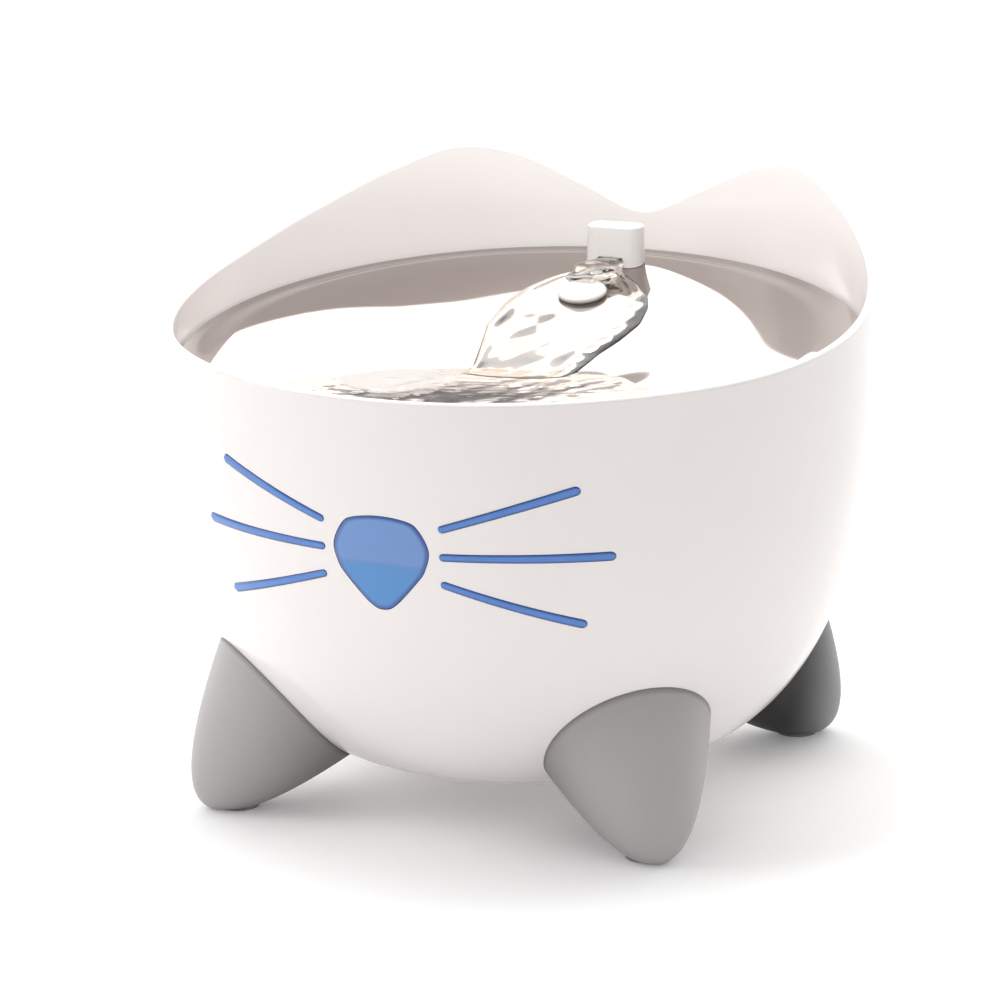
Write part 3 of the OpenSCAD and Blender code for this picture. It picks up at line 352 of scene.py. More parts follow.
def joinGrids(grids, ring=False):
    # quads between neighbouring rows; columns wrap round, and a first or last row of one point is a pole
    points, faces, start = [], [], 0
    for grid in grids:
        rows, columns = grid.shape[:2]
        index = np.arange(rows * columns).reshape(rows, columns)
        if not ring:
            for end in (0, rows - 1):
                if np.ptp(grid[end], axis=0).max() < 1e-9:
                    index[end] = index[end, 0]
        near = index
        far = np.roll(index, -1, 0) if ring else index[1:]
        near = near if ring else near[:-1]
        quads = np.stack([near, np.roll(near, -1, 1), np.roll(far, -1, 1), far], -1).reshape(-1, 4)
        p = grid.reshape(-1, 3)
        a, b, c, d = (p[quads[:, k]] for k in range(4))
        volume = np.sum(a * (np.cross(b, c) + np.cross(c, d)))
        if volume < 0:
            quads = quads[:, ::-1]
        points.append(p)
        faces.append(quads + start)
        start += len(p)
    points, faces = np.concatenate(points), np.concatenate(faces)
    used, faces = np.unique(faces, return_inverse=True)
    faces = faces.reshape(-1, 4)
    same = faces == np.roll(faces, -1, 1)
    whole = faces[~same.any(1)].tolist()
    corners = faces[same.any(1)][~same[same.any(1)]].reshape(-1, 3).tolist()
    return points[used], whole + corners, used


def newPiece(name, grids, look, body=None, nodes=(), ring=False, across=None):
    # closed grids in mm as one smooth piece on its body, in place of the nodes that it stands for
    points, faces, used = joinGrids(grids, ring)
    mesh = bpy.data.meshes.new(name)
    mesh.from_pydata(points * mm, [], faces)
    mesh.polygons.foreach_set("use_smooth", np.ones(len(mesh.polygons), bool))
    if across is not None:
        layer = mesh.attributes.new("across", "FLOAT", "POINT")
        layer.data.foreach_set("value", np.ravel(across)[used].astype(np.float32))
    if look:
        mesh.materials.append(finishes[look])
    piece = bpy.data.objects.new(name, mesh)
    bpy.context.scene.collection.objects.link(piece)
    if body:
        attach(piece, body)
    if nodes:
        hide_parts(*nodes)
    return piece


def carve(piece, grids, normalAt):
    # takes closed shapes out of a piece, then shades its curved faces by the true surface's normals
    cutter = newPiece("cutter", grids, None)
    modifier = piece.modifiers.new("cut", "BOOLEAN")
    modifier.object, modifier.operation, modifier.solver = cutter, "DIFFERENCE", "EXACT"
    mesh = bpy.data.meshes.new_from_object(piece.evaluated_get(bpy.context.evaluated_depsgraph_get()))
    piece.modifiers.clear()
    piece.data = mesh
    bpy.data.objects.remove(cutter)
    shadeBy(piece, normalAt)


def shadeBy(piece, normalAt):
    # corners whose face lies within about 30 degrees of the true surface take its normal, others their face's
    mesh = piece.data
    corner = np.empty(len(mesh.loops), np.int32)
    mesh.loops.foreach_get("vertex_index", corner)
    place = np.empty(len(mesh.vertices) * 3, np.float32)
    mesh.vertices.foreach_get("co", place)
    flat = np.empty(len(mesh.polygons) * 3, np.float32)
    mesh.polygons.foreach_get("normal", flat)
    total = np.empty(len(mesh.polygons), np.int32)
    mesh.polygons.foreach_get("loop_total", total)
    flat = np.repeat(flat.reshape(-1, 3), total, axis=0)
    true = normalAt(place.reshape(-1, 3) / mm)[corner]
    along = np.sum(true * flat, 1, keepdims=True)
    normals = np.where(np.abs(along) > 0.85, true * np.sign(along), flat)
    mesh.polygons.foreach_set("use_smooth", np.ones(len(mesh.polygons), bool))
    mesh.normals_split_custom_set(normals.tolist())


def knotCurve(knots, x):
    # smooth curve through [x, y] knots, level at both ends
    k = np.array(knots, float)
    slope = np.zeros(len(k))
    slope[1:-1] = (k[2:, 1] - k[:-2, 1]) / (k[2:, 0] - k[:-2, 0])
    i = np.clip(np.searchsorted(k[:, 0], x, side="left") - 1, 0, len(k) - 2)
    w = k[i + 1, 0] - k[i, 0]
    t = np.clip((x - k[i, 0]) / w, 0, 1)
    return (k[i, 1] * (1 + 2 * t) * (1 - t) ** 2 + k[i + 1, 1] * t * t * (3 - 2 * t)
            + w * t * (1 - t) * (slope[i] * (1 - t) - slope[i + 1] * t))


def turned(profile, columns):
    # a profile of (radius, height) pairs turned once round Z
    a = np.linspace(0, math.tau, columns, endpoint=False)
    r, z = np.asarray(profile, float).T
    return np.stack([r[:, None] * np.sin(a), -r[:, None] * np.cos(a), np.repeat(z[:, None], columns, 1)], -1)


# all lengths from here on are in mm; the rim curves are shares of its rise by degrees from the front
bowl = dict(radius=120.2, sideTop=175.0, sideFoot=7.3, base=14.1, power=3.25, round=2.96, wall=2.6,
            frontRim=156.7, ear=203.0, valley=180.0, earAt=148.0, columns=560, baseShare=0.93,
            ledgeInner=112.0, ledgeTop=-3.8, ledgeDepth=3.0, ledgeInset=0.6)
rimFront = [[0, 0], [35, 0.03], [70, 0.11], [100, 0.32], [120, 0.59], [135, 0.84], [148, 1]]
rimBack = [[148, 1], [158, 0.84], [169, 0.39], [180, 0]]


def sideRadius(z):
    # a quarter of a superellipse, upright above its top
    share = np.maximum(0, (bowl["sideTop"] - z) / (bowl["sideTop"] - bowl["sideFoot"]))
    return bowl["radius"] * np.maximum(1 - share ** bowl["power"], 0) ** (1 / bowl["round"])


def sideSlope(z):
    # change of the side's radius with height
    return (sideRadius(z + 0.05) - sideRadius(z - 0.05)) / 0.1


def rimHeight(azimuth):
    # rises from the front to the ears and falls to the valley between them, alike on both sides
    a = np.degrees(azimuth) % 360
    a = np.where(a > 180, 360 - a, a)
    ear, low, valley = bowl["ear"], bowl["frontRim"], bowl["valley"]
    front = low + (ear - low) * knotCurve(rimFront, np.minimum(a, bowl["earAt"]))
    back = valley + (ear - valley) * knotCurve(rimBack, np.maximum(a, bowl["earAt"]))
    return np.where(a <= bowl["earAt"], front, back)


def bowlGrid():
    # base, outside, rounded rim and inside as one closed grid over height and azimuth
    n, wall = bowl["columns"], bowl["wall"]
    a = np.linspace(0, math.tau, n, endpoint=False)
    crest = rimHeight(a) - wall / 2
    climb = np.linspace(0, 1, 62) ** 1.5
    z = bowl["base"] + (crest - bowl["base"]) * climb[:, None]
    r, k = sideRadius(z), sideSlope(z)
    n2 = np.sqrt(1 + k * k)
    outside = np.stack([r, z], -1)
    inside = np.stack([r - wall / n2, z + wall * k / n2], -1)[::-1]
    turn = np.linspace(0, math.pi, 11)[1:-1, None]
    middle = sideRadius(crest) - wall / 2
    rim = np.stack([middle + wall / 2 * np.cos(turn), crest + wall / 2 * np.sin(turn)], -1)
    base = outside[:1] * np.array([bowl["baseShare"], 1])
    floor = inside[-1:] * np.array([bowl["baseShare"], 1])
    axis = np.array([0.0, 1.0])
    rows = np.concatenate([outside[:1] * axis, base, outside, rim, inside, floor, inside[-1:] * axis])
    return np.stack([rows[..., 0] * np.sin(a), -rows[..., 0] * np.cos(a), rows[..., 1]], -1)


def bowlNormal(p):
    # the side curve's normal, and round the rim's crest the direction from the middle of its rounding
    r = np.maximum(np.hypot(p[:, 0], p[:, 1]), 1e-6)
    out = p[:, :2] / r[:, None]
    azimuth = np.arctan2(p[:, 0], -p[:, 1])
    crest = rimHeight(azimuth) - bowl["wall"] / 2
    k = sideSlope(p[:, 2])
    side = np.stack([np.ones_like(k), -k], -1)
    side /= np.linalg.norm(side, axis=1, keepdims=True)
    edge = np.stack([r - sideRadius(crest) + bowl["wall"] / 2, p[:, 2] - crest], -1)
    edge /= np.maximum(np.linalg.norm(edge, axis=1, keepdims=True), 1e-6)
    pair = np.where((p[:, 2] > crest + 0.02)[:, None], edge, side)
    pair = np.where(((p[:, 2] < bowl["base"] + 0.01) | (r < 50))[:, None], [0.0, 1.0], pair)
    return np.concatenate([out * pair[:, :1], pair[:, 1:]], 1)


def onBowl(x, z, out):
    # point of the front wall at x and z, moved out by a distance
    r = sideRadius(z) + out
    return np.stack([x, -np.sqrt(np.maximum(r * r - x * x, 0)), z], -1)


# half the nose's outline in shares of its half width and of its height, from the top to the tip
nose = dict(width=33.0, height=31.6, tip=87.0, middle=0.58, fit=0.15, edge=0.7, flat=0.94, proud=0.25,
            thickness=3.2, backEdge=0.2, cutOut=4, cutBack=8, facets=12)
noseHalf = [[0, 1], [0.56, 0.965], [0.81, 0.88], [1, 0.665], [0.91, 0.46], [0.745, 0.33], [0.27, 0.06],
            [0, 0]]


def noseOutline(grow=0.0):
    # closed smooth curve through the knots and their mirror images, grown outwards
    half = [[q[0] * nose["width"] / 2, nose["tip"] + q[1] * nose["height"]] for q in noseHalf]
    knots = np.array(half + [[-x, z] for x, z in half[-2:0:-1]])
    a, b, c, d = (np.roll(knots, k, 0)[:, None] for k in (1, 0, -1, -2))
    t = (np.arange(nose["facets"]) / nose["facets"])[None, :, None]
    curve = 0.5 * (2 * b + (c - a) * t + (2 * a - 5 * b + 4 * c - d) * t ** 2
                   + (3 * b - a - 3 * c + d) * t ** 3)
    curve = curve.reshape(-1, 2)
    along = np.roll(curve, -1, 0) - np.roll(curve, 1, 0)
    out = np.stack([-along[:, 1], along[:, 0]], 1) / np.linalg.norm(along, axis=1, keepdims=True)
    return curve + grow * out


def noseRows(shares, depths, grow):
    # rings of the outline drawn in towards its middle, each at its own depth on the wall
    outline = noseOutline(grow)
    middle = np.array([0.0, nose["tip"] + nose["middle"] * nose["height"]])
    ring = middle + (outline - middle) * np.asarray(shares)[:, None, None]
    return onBowl(ring[..., 0], ring[..., 1], np.asarray(depths)[:, None])


def noseWindow():
    # a face that follows the wall, a rounded edge, a straight side and a flat back
    turn = np.linspace(0, math.pi / 2, 7)[1:]
    face = np.linspace(0, nose["flat"], 16)
    edgeShare = nose["flat"] + (1 - nose["flat"]) * np.sin(turn)
    edgeDepth = nose["proud"] - nose["edge"] * (1 - np.cos(turn))
    shares = [*face, *edgeShare, 1.0, *np.linspace(1, 0, 12)]
    depths = ([nose["proud"]] * len(face) + [*edgeDepth, nose["backEdge"] - nose["thickness"]]
              + [-nose["thickness"]] * 12)
    grid = noseRows(shares, depths, 0.0)
    across = np.repeat(np.minimum(np.array(shares), 1)[:, None], grid.shape[1], 1)
    newPiece("nose_window_blue", [grid], "windowBlue", "basin", ["nose_window"],
             across=across)


# each whisker has the heights of its two ends over the middle one's, and its outer end's distance
whisker = dict(inner=21.2, outer=61.0, middleOuter=70.0, height=106.3, pitch=9.4, rise=13.0,
               middleRise=0.3, width=2.9, innerWidth=2.32, depth=1.4, proud=0.4, fit=0.15, sharp=0.55,
               grooveTop=3.0, grooveSharp=0.12)
whiskerEnds = [("upper", whisker["pitch"], whisker["pitch"] + whisker["rise"], whisker["outer"]),
               ("middle", 0.0, whisker["middleRise"], whisker["middleOuter"]),
               ("lower", -whisker["pitch"], -whisker["pitch"] - whisker["rise"], whisker["outer"])]


def whiskerGrid(side, start, end, reach, grow, top, bottom, sharp):
    # a bar with round ends along the wall; its cross-section is a superellipse between two depths
    a, b = np.array([whisker["inner"], whisker["height"] + start]), np.array([reach, whisker["height"] + end])
    length = np.hypot(*(b - a))
    along, over = (b - a) / length, np.array([-(b - a)[1], (b - a)[0]]) / length
    w0, w1 = whisker["innerWidth"] / 2 + grow, whisker["width"] / 2 + grow
    cap = np.sin(np.linspace(0, math.pi / 2, 9))
    s = np.concatenate([-w0 * cap[::-1], np.linspace(0, length, 60)[1:-1], length + w1 * cap])
    w = np.concatenate([w0 * np.sqrt(1 - cap[::-1] ** 2), np.linspace(w0, w1, 60)[1:-1],
                        w1 * np.sqrt(1 - cap ** 2)])
    turn = np.linspace(0, math.tau, 24, endpoint=False)
    q = np.sign(np.cos(turn)) * np.abs(np.cos(turn)) ** sharp
    d = (top + bottom) / 2 + (top - bottom) / 2 * np.sign(np.sin(turn)) * np.abs(np.sin(turn)) ** sharp
    flat = a + s[:, None, None] * along + (w[:, None] * q)[..., None] * over
    ends = w[:, None] <= 1e-9
    d = np.where(ends, (top + bottom) / 2, d)
    grid = onBowl(side * flat[..., 0], flat[..., 1], d)
    return grid, np.broadcast_to(np.abs(q), grid.shape[:2])


def makeWhiskers():
    # the six bars, and the slightly larger grooves that the bowl gets for them
    cuts, depth = [], -whisker["depth"]
    for side, hand in ((-1, "left"), (1, "right")):
        for place, start, end, reach in whiskerEnds:
            grid, across = whiskerGrid(side, start, end, reach, 0.0, whisker["proud"], depth,
                                       whisker["sharp"])
            node = "whisker_" + hand + "_" + place
            newPiece(node + "_blue", [grid], "whiskerBlue", "basin", [node], across=across)
            cuts.append(whiskerGrid(side, start, end, reach, whisker["fit"], whisker["grooveTop"], depth,
                                    whisker["grooveSharp"])[0])
    return cuts


# the dish lies in a frame of its own, tilted about X; dishRise is the share of its rise by share of radius
dish = dict(radius=116.6, flat=3.6, sag=4.4, crown=2.2, crownIn=13.0, steel=0.8, plane=152.5, tilt=6.6,
            drain=72.0, drainHole=2.1, drainPitch=7.0, drainRound=6, spout=90.5, spoutHole=4.4,
            spoutCut=(140, 190), button=58.5, buttonHole=2.55, cut=12, columns=300,
            dentAt=(-31.0, -38.0), dentDepth=2.2, dentSpread=43.0, dentEnd=108.0, dentFade=25.0)
dishRise = [[0, 0], [0.25, 0.05], [0.45, 0.3], [0.65, 0.66], [0.85, 0.94], [1, 1]]
tiltCos, tiltSin = math.cos(math.radians(dish["tilt"])), math.sin(math.radians(dish["tilt"]))


def dishHeight(r):
    # surface above the edge plane: a shallow hollow, a raised shoulder and a flat edge
    curve = dish["radius"] - dish["flat"]
    crown = curve - dish["crownIn"]
    t = np.clip((r - crown) / dish["crownIn"], 0, 1)
    hollow = -dish["sag"] + (dish["sag"] + dish["crown"]) * knotCurve(dishRise, np.minimum(r / crown, 1))
    return np.where(r <= crown, hollow, dish["crown"] * (1 - t * t * (3 - 2 * t)))


def dishDent(x, y):
    # a shallow dent left of the drain, whose bell curve fades out before the shoulder
    away = ((x - dish["dentAt"][0]) ** 2 + (y - dish["dentAt"][1]) ** 2) / dish["dentSpread"] ** 2
    t = np.clip((dish["dentEnd"] - np.hypot(x, y)) / dish["dentFade"], 0, 1)
    return dish["dentDepth"] * np.exp(-away) * t * t * (3 - 2 * t)


def dishForm(x, y):
    # the turned form less the dent
    return dishHeight(np.hypot(x, y)) - dishDent(x, y)


def fromDish(p):
    # the dish's own frame, tilted about X, to the object's
    return np.stack([p[..., 0], p[..., 1] * tiltCos - p[..., 2] * tiltSin,
                     p[..., 1] * tiltSin + p[..., 2] * tiltCos + dish["plane"]], -1)


def dishSurface(x, y):
    # height of the steel over a point, by a few rounds of moving back along the tilt
    v = y / tiltCos
    for _ in range(4):
        v = (y + dishForm(x, v) * tiltSin) / tiltCos
    return v * tiltSin + dishForm(x, v) * tiltCos + dish["plane"]


def dishNormal(p):
    # square to the form's slopes in the dish's own frame, then tilted with it
    x, v = p[:, 0], p[:, 1] * tiltCos + (p[:, 2] - dish["plane"]) * tiltSin
    slopeX = (dishForm(x + 0.05, v) - dishForm(x - 0.05, v)) / 0.1
    slopeY = (dishForm(x, v + 0.05) - dishForm(x, v - 0.05)) / 0.1
    n = np.stack([-slopeX, -slopeY, np.ones_like(x)], 1)
    n /= np.linalg.norm(n, axis=1, keepdims=True)
    return np.stack([n[:, 0], n[:, 1] * tiltCos - n[:, 2] * tiltSin,
                     n[:, 1] * tiltSin + n[:, 2] * tiltCos], 1)


def rod(radius, low, high, place=(0, 0), sides=48):
    # a closed cylinder with its ends on two heights
    grid = turned([(0, low), (radius, low), (radius, high), (0, high)], sides)
    return grid + np.array([place[0], place[1], 0.0])


def steelDish():
    # the profile's top, rounded edge and underside turned round, then dented, tilted and pierced
    curve = dish["radius"] - dish["flat"]
    crown = curve - dish["crownIn"]
    r = np.concatenate([np.linspace(0, crown, 60), np.linspace(crown, curve, 16)[1:],
                        np.linspace(curve, dish["radius"] - 0.3, 3)[1:]])
    top = np.stack([r, dishHeight(r)], 1)
    low = top[::-1] - [0, dish["steel"]]
    edge = [[dish["radius"] - 0.08, -0.1], [dish["radius"], -0.4], [dish["radius"] - 0.08, -0.7]]
    grid = turned(np.concatenate([top, edge, low]), dish["columns"])
    grid[..., 2] -= dishDent(grid[..., 0], grid[..., 1])
    piece = newPiece("steel_dish", [fromDish(grid)], "dishSteel", "dish_set", ["drinking_dish"])
    cut, pitch, count = dish["cut"], dish["drainPitch"], dish["drainRound"]
    places = [(0, -dish["drain"])]
    for a in (math.radians(360 / count * i) for i in range(count)):
        places.append((pitch * math.cos(a), pitch * math.sin(a) - dish["drain"]))
    holes = [fromDish(rod(dish["drainHole"], -cut, cut, place)) for place in places]
    holes.append(rod(dish["spoutHole"], *dish["spoutCut"], (0, dish["spout"])))
    holes.append(fromDish(rod(dish["buttonHole"], -cut, cut, (0, dish["button"]))))
    carve(piece, holes, dishNormal)


# the spout stands on the steel; its slot opens to the front
spout = dict(width=20.0, depth=11.0, corner=4.2, top=179.05, edge=0.9, draft=0.45, deepDraft=0.4,
             footGap=0.15, slotLow=165.75, slotHigh=167.95, slotWidth=10.0, slotCorner=0.9, slotReach=12,
             bore=4.06, boreFoot=130, roof=0.15)


def roundedBox(w, d, r, n=24):
    # outline of a rectangle with round corners, as many points to a corner as asked
    a = np.linspace(0, math.pi / 2, n)
    parts = []
    for k, (sx, sy) in enumerate(((1, -1), (1, 1), (-1, 1), (-1, -1))):
        start = -math.pi / 2 + k * math.pi / 2
        parts.append(np.stack([sx * (w / 2 - r) + r * np.cos(start + a),
                               sy * (d / 2 - r) + r * np.sin(start + a)], 1))
    return np.concatenate(parts)


def spoutCap():
    # upright rounded box, slightly wider at the foot, its lower end following the dish
    width, depth, corner, edge = (spout[k] for k in ("width", "depth", "corner", "edge"))
    draft, centre = spout["draft"], np.array([0.0, dish["spout"]])
    foot = roundedBox(width + 2 * draft, depth + 2 * draft * spout["deepDraft"], corner + draft)
    head = roundedBox(width, depth, corner)
    footZ = dishSurface(foot[:, 0], foot[:, 1] + dish["spout"]) + spout["footGap"]
    rows = [np.column_stack([np.repeat([centre], len(foot), 0), np.full(len(foot), footZ.mean())]),
            np.column_stack([foot * 0.5 + centre, (footZ + footZ.mean()) / 2])]
    side = spout["top"] - edge
    for t in np.linspace(0, 1, 26):
        rows.append(np.column_stack([foot * (1 - t) + head * t + centre, footZ * (1 - t) + side * t]))
    for t in np.linspace(0, math.pi / 2, 7)[1:]:
        inset = edge * (1 - math.cos(t))
        inner = roundedBox(width - 2 * inset, depth - 2 * inset, corner - inset)
        rows.append(np.column_stack([inner + centre, np.full(len(inner), side + edge * math.sin(t))]))
    last = rows[-1]
    for t in (0.6, 0.0):
        rows.append(np.column_stack([(last[:, :2] - centre) * t + centre, last[:, 2]]))
    piece = newPiece("spout_cap_white", [np.array(rows)], "spoutWhite", "spout_cap", ["spout"])
    slot = roundedBox(spout["slotWidth"], spout["slotHigh"] - spout["slotLow"], spout["slotCorner"], 8)
    middle = (spout["slotHigh"] + spout["slotLow"]) / 2
    front, back = dish["spout"] - spout["slotReach"], dish["spout"]
    slotRows = np.array([np.column_stack([slot[:, 0] * k, np.full(len(slot), y), middle + slot[:, 1] * k])
                         for k, y in ((0, front), (1, front), (1, back), (0, back))])
    bore = rod(spout["bore"], spout["boreFoot"], spout["slotHigh"] - spout["roof"], (0, dish["spout"]))
    carve(piece, [slotRows, bore], spoutNormal)


def spoutNormal(p):
    # horizontal direction away from the rounded box's core, turning up over the top edge
    half = np.array([spout["width"] / 2 - spout["corner"], spout["depth"] / 2 - spout["corner"]])
    q = p[:, :2] - np.array([0.0, dish["spout"]])
    out = q - np.clip(q, -half, half)
    size = np.linalg.norm(out, axis=1, keepdims=True)
    up = np.clip((p[:, 2:] - (spout["top"] - spout["edge"])) / spout["edge"], 0, 1)
    n = np.concatenate([out / np.maximum(size, 1e-6) * np.sqrt(1 - up ** 2), up], 1)
    return n / np.maximum(np.linalg.norm(n, axis=1, keepdims=True), 1e-6)


button = dict(radius=8.6, thickness=3.0, edge=1.3, stem=2.4, stemLength=6.4, gap=0.2, dip=0.35)


def deflector():
    # a disc with a rounded edge and a slightly dished top, on its stem, square to the steel
    a = np.radians(np.linspace(-90, 90, 13))
    r, t, e = button["radius"], button["thickness"], button["edge"]
    rim = np.stack([r - e + e * np.cos(a), t - e + e * np.sin(a)], 1)
    x = np.linspace(r - e, 0, 14)[1:]
    top = np.stack([x, t - button["dip"] * (1 - (x / (r - e)) ** 2)], 1)
    profile = np.concatenate([[[0, -button["stemLength"]], [button["stem"], -button["stemLength"]],
                               [button["stem"], button["gap"]], [r - e, button["gap"]]], rim, top])
    grid = turned(profile, 96)
    slope = math.atan((dishHeight(dish["button"] + 0.05) - dishHeight(dish["button"] - 0.05)) / 0.1)
    c, s = math.cos(slope), math.sin(slope)
    leaned = np.stack([grid[..., 0], grid[..., 1] * c - grid[..., 2] * s + dish["button"],
                       grid[..., 1] * s + grid[..., 2] * c + dishHeight(dish["button"])], -1)
    newPiece("deflector_white", [fromDish(leaned)], "spoutWhite", "dish_set",
             ["deflector_button"])


# places holds each foot's node, its degrees from the front and how much further out it stands
foot = dict(tipRadius=115.2, tipHeight=1.6, lean=39.0, length=90.0, outerDepth=39.3, innerDepth=45.5,
            halfWidth=42.3, blunt=5.0, wall=2.6, tipWall=1.2, land=0.7, gap=0.15, columns=180,
            places=[("foot_front_left", -46, 0), ("foot_front_right", 46, 0),
                    ("foot_rear_left", -139, 8), ("foot_rear_right", 139, 8)])


def footPoint(u, a, shrink, out):
    # leaning cone with a blunt tip: radius, sideways distance and height at a share u of its axis
    lean = math.radians(foot["lean"])
    half = np.sqrt((u * u + 2 * foot["blunt"] * u) / (1 + 2 * foot["blunt"]))
    depth = np.where(np.cos(a) > 0, foot["outerDepth"], foot["innerDepth"]) - shrink
    across = half * np.cos(a) * depth
    along = foot["length"] * u + foot["tipWall"] * shrink
    r = foot["tipRadius"] + out - math.sin(lean) * along + math.cos(lean) * across
    z = foot["tipHeight"] + math.cos(lean) * along + math.sin(lean) * across
    return r, half * np.sin(a) * (foot["halfWidth"] - shrink), np.maximum(z, foot["land"] + shrink)


def footReach(a, shrink, out, gap):
    # for each direction, the share of the axis at which the cone meets the bowl
    u = np.linspace(0.002, 1, 500)[:, None]
    r, s, z = footPoint(u, a, shrink, out)
    outside = np.hypot(r, s) - (sideRadius(z) + gap)
    first = np.argmax(outside < 0, axis=0)
    column = np.arange(len(a))
    high, low = outside[first, column], outside[first - 1, column]
    return u[first - 1, 0] + (u[1, 0] - u[0, 0]) * low / (low - high)


def makeFeet():
    # the cone outside and inside, each out to where it meets the bowl, turned to its place
    a = np.linspace(0, math.tau, foot["columns"], endpoint=False)
    steps = np.linspace(0, 1, 44)[:, None] ** 2
    for node, azimuth, out in foot["places"]:
        outer = np.stack(footPoint(steps * footReach(a, 0, out, foot["gap"]), a, 0, out), -1)
        inner = np.stack(footPoint(steps[::-1] * footReach(a, foot["wall"], out, foot["gap"]), a,
                                   foot["wall"], out), -1)
        grid = np.concatenate([outer, inner])
        grid[0], grid[-1] = grid[0].mean(0), grid[-1].mean(0)
        turn = math.radians(azimuth)
        x = grid[..., 0] * math.sin(turn) + grid[..., 1] * math.cos(turn)
        y = -grid[..., 0] * math.cos(turn) + grid[..., 1] * math.sin(turn)
        # the rear feet take the darker copy of the grey: painted shade
        look = "rearShadedGrey" if "rear" in node else "footGrey"
        newPiece(node + "_grey", [np.stack([x, y, grid[..., 2]], -1)], look, "basin", [node])


# the screw bosses stand along the feet's axes; the gland is the hole for the lead
boss = dict(radius=5.2, low=20, high=60, start=103.2, height=3)
gland = dict(radius=5.0, height=134.0, near=110, far=130)


def makeBowl(grooves):
    # the shell less the nose's hole, the gland's hole and the whiskers' grooves
    out, back = nose["cutOut"], -nose["cutBack"]
    noseCut = noseRows([0, 1, 1, 0], [out, out, back, back], nose["fit"])
    hole = rod(gland["radius"], gland["near"], gland["far"])
    hole = np.stack([hole[..., 0], hole[..., 2], gland["height"] - hole[..., 1]], -1)
    shell = newPiece("bowl_white", [bowlGrid()], "bowlWhite", "basin", ["bowl"])
    carve(shell, [noseCut, hole, *grooves], bowlNormal)


def bowlFittings():
    # the tilted ledge that the dish set rests on, and the four screw bosses, inside the wall
    inner, top, low = bowl["ledgeInner"], bowl["ledgeTop"], bowl["ledgeTop"] - bowl["ledgeDepth"]
    outer = bowl["radius"] - (bowl["wall"] / 2 + bowl["ledgeInset"])
    ledge = turned([(inner, top), (outer, top), (outer, low - outer + inner), (inner, low)], 240)
    bosses = []
    for node, azimuth, out in foot["places"]:
        post = rod(boss["radius"], boss["low"], boss["high"])
        lean, turn = math.radians(foot["lean"]), math.radians(azimuth)
        r = boss["start"] + out + post[..., 0] * math.cos(lean) - post[..., 2] * math.sin(lean)
        z = boss["height"] + post[..., 0] * math.sin(lean) + post[..., 2] * math.cos(lean)
        s = post[..., 1]
        bosses.append(np.stack([r * math.sin(turn) + s * math.cos(turn),
                                -r * math.cos(turn) + s * math.sin(turn), z], -1))
    newPiece("bowl_ledge", [fromDish(ledge)], "bowlWhite", "basin", ring=True)
    newPiece("bowl_bosses", bosses, "bowlWhite", "basin")


# the pool's level by X, the stream's edges as (Y, X), the jet's path as (Y, Z); waves are the stretch
# in X and Y, the number of waves and their seed
pool = dict(level=[[-70, 146.9], [-45, 145.6], [-25, 145.0], [5, 145.8], [25, 146.8], [46, 148.3],
                   [68, 149.3]],
            middle=(0.0, -76.0), reach=190, columns=300, rows=70, film=0.12, wallGap=0.6, ripple=0.7,
            waves=(0.85, 1.2, 12, 3), restRipple=0.8, splashRipple=0.7, splashAt=(6, -22),
            splashSpread=34, lift=0.04, thinnest=0.02)
stream = dict(thick=1.15, lift=0.05, stations=120, across=64, start=82, end=-22, startFade=5, endFade=6,
              bulge=5, bulgeOver=30, sheet=0.62, rope=0.8, ropeAt=0.86, ropeSpread=0.13, ropeUneven=0.6,
              ropeWaves=(1.5, 1.3, 8, 11), bead=0.3, beadAt=-0.92, beadSpread=0.08, long=0.5,
              longWaves=(0.9, 0.35, 10, 5), wide=0.4, wideWaves=(0.6, 0.5, 8, 8), lump=0.8,
              lumpAt=(-13.0, 44.0), lumpSpread=90,
              left=[[-22, -13], [-11.4, -12.6], [6.9, -17.7], [26.9, -23.4], [46.1, -24.6], [60.8, -22.2],
                    [70, -18], [75, -14.5], [79, -9.5], [82, -4]],
              right=[[-22, 25], [-14.4, 25.5], [8.9, 25.8], [22.1, 28], [37.1, 29.6], [51, 27.3],
                     [59.9, 23.9], [68.4, 17.7], [74, 13], [79, 8], [82, 3]])
jet = dict(path=[[88, 166.85], [84.5, 166.8], [81, 166.5], [77.5, 166.2], [74, 165.6], [70.5, 164.8],
                 [67.5, 164.0], [64.5, 162.9], [62, 162.0]],
           halfWidth=[4.8, 5.0, 6.2, 7.8, 9.2, 9.8, 9.6, 8.6, 6.0],
           halfThick=[1.0, 1.1, 1.5, 2.0, 2.6, 2.9, 2.5, 1.5, 0.5], wobble=0.05, lobe=0.22, fineLobe=0.12)


def ripples(x, y, stretchX, stretchY, waves, seed):
    # mean of plane waves of different lengths and directions, the longer ones higher
    x, y = x * stretchX, y * stretchY
    rng = np.random.default_rng(seed)
    total = 0
    for k in range(waves):
        heading, length = rng.uniform(0, math.tau), rng.uniform(5, 17)
        total = total + np.sin((x * math.cos(heading) + y * math.sin(heading)) * math.tau / length
                               + rng.uniform(0, math.tau)) * length / 17
    return total / waves


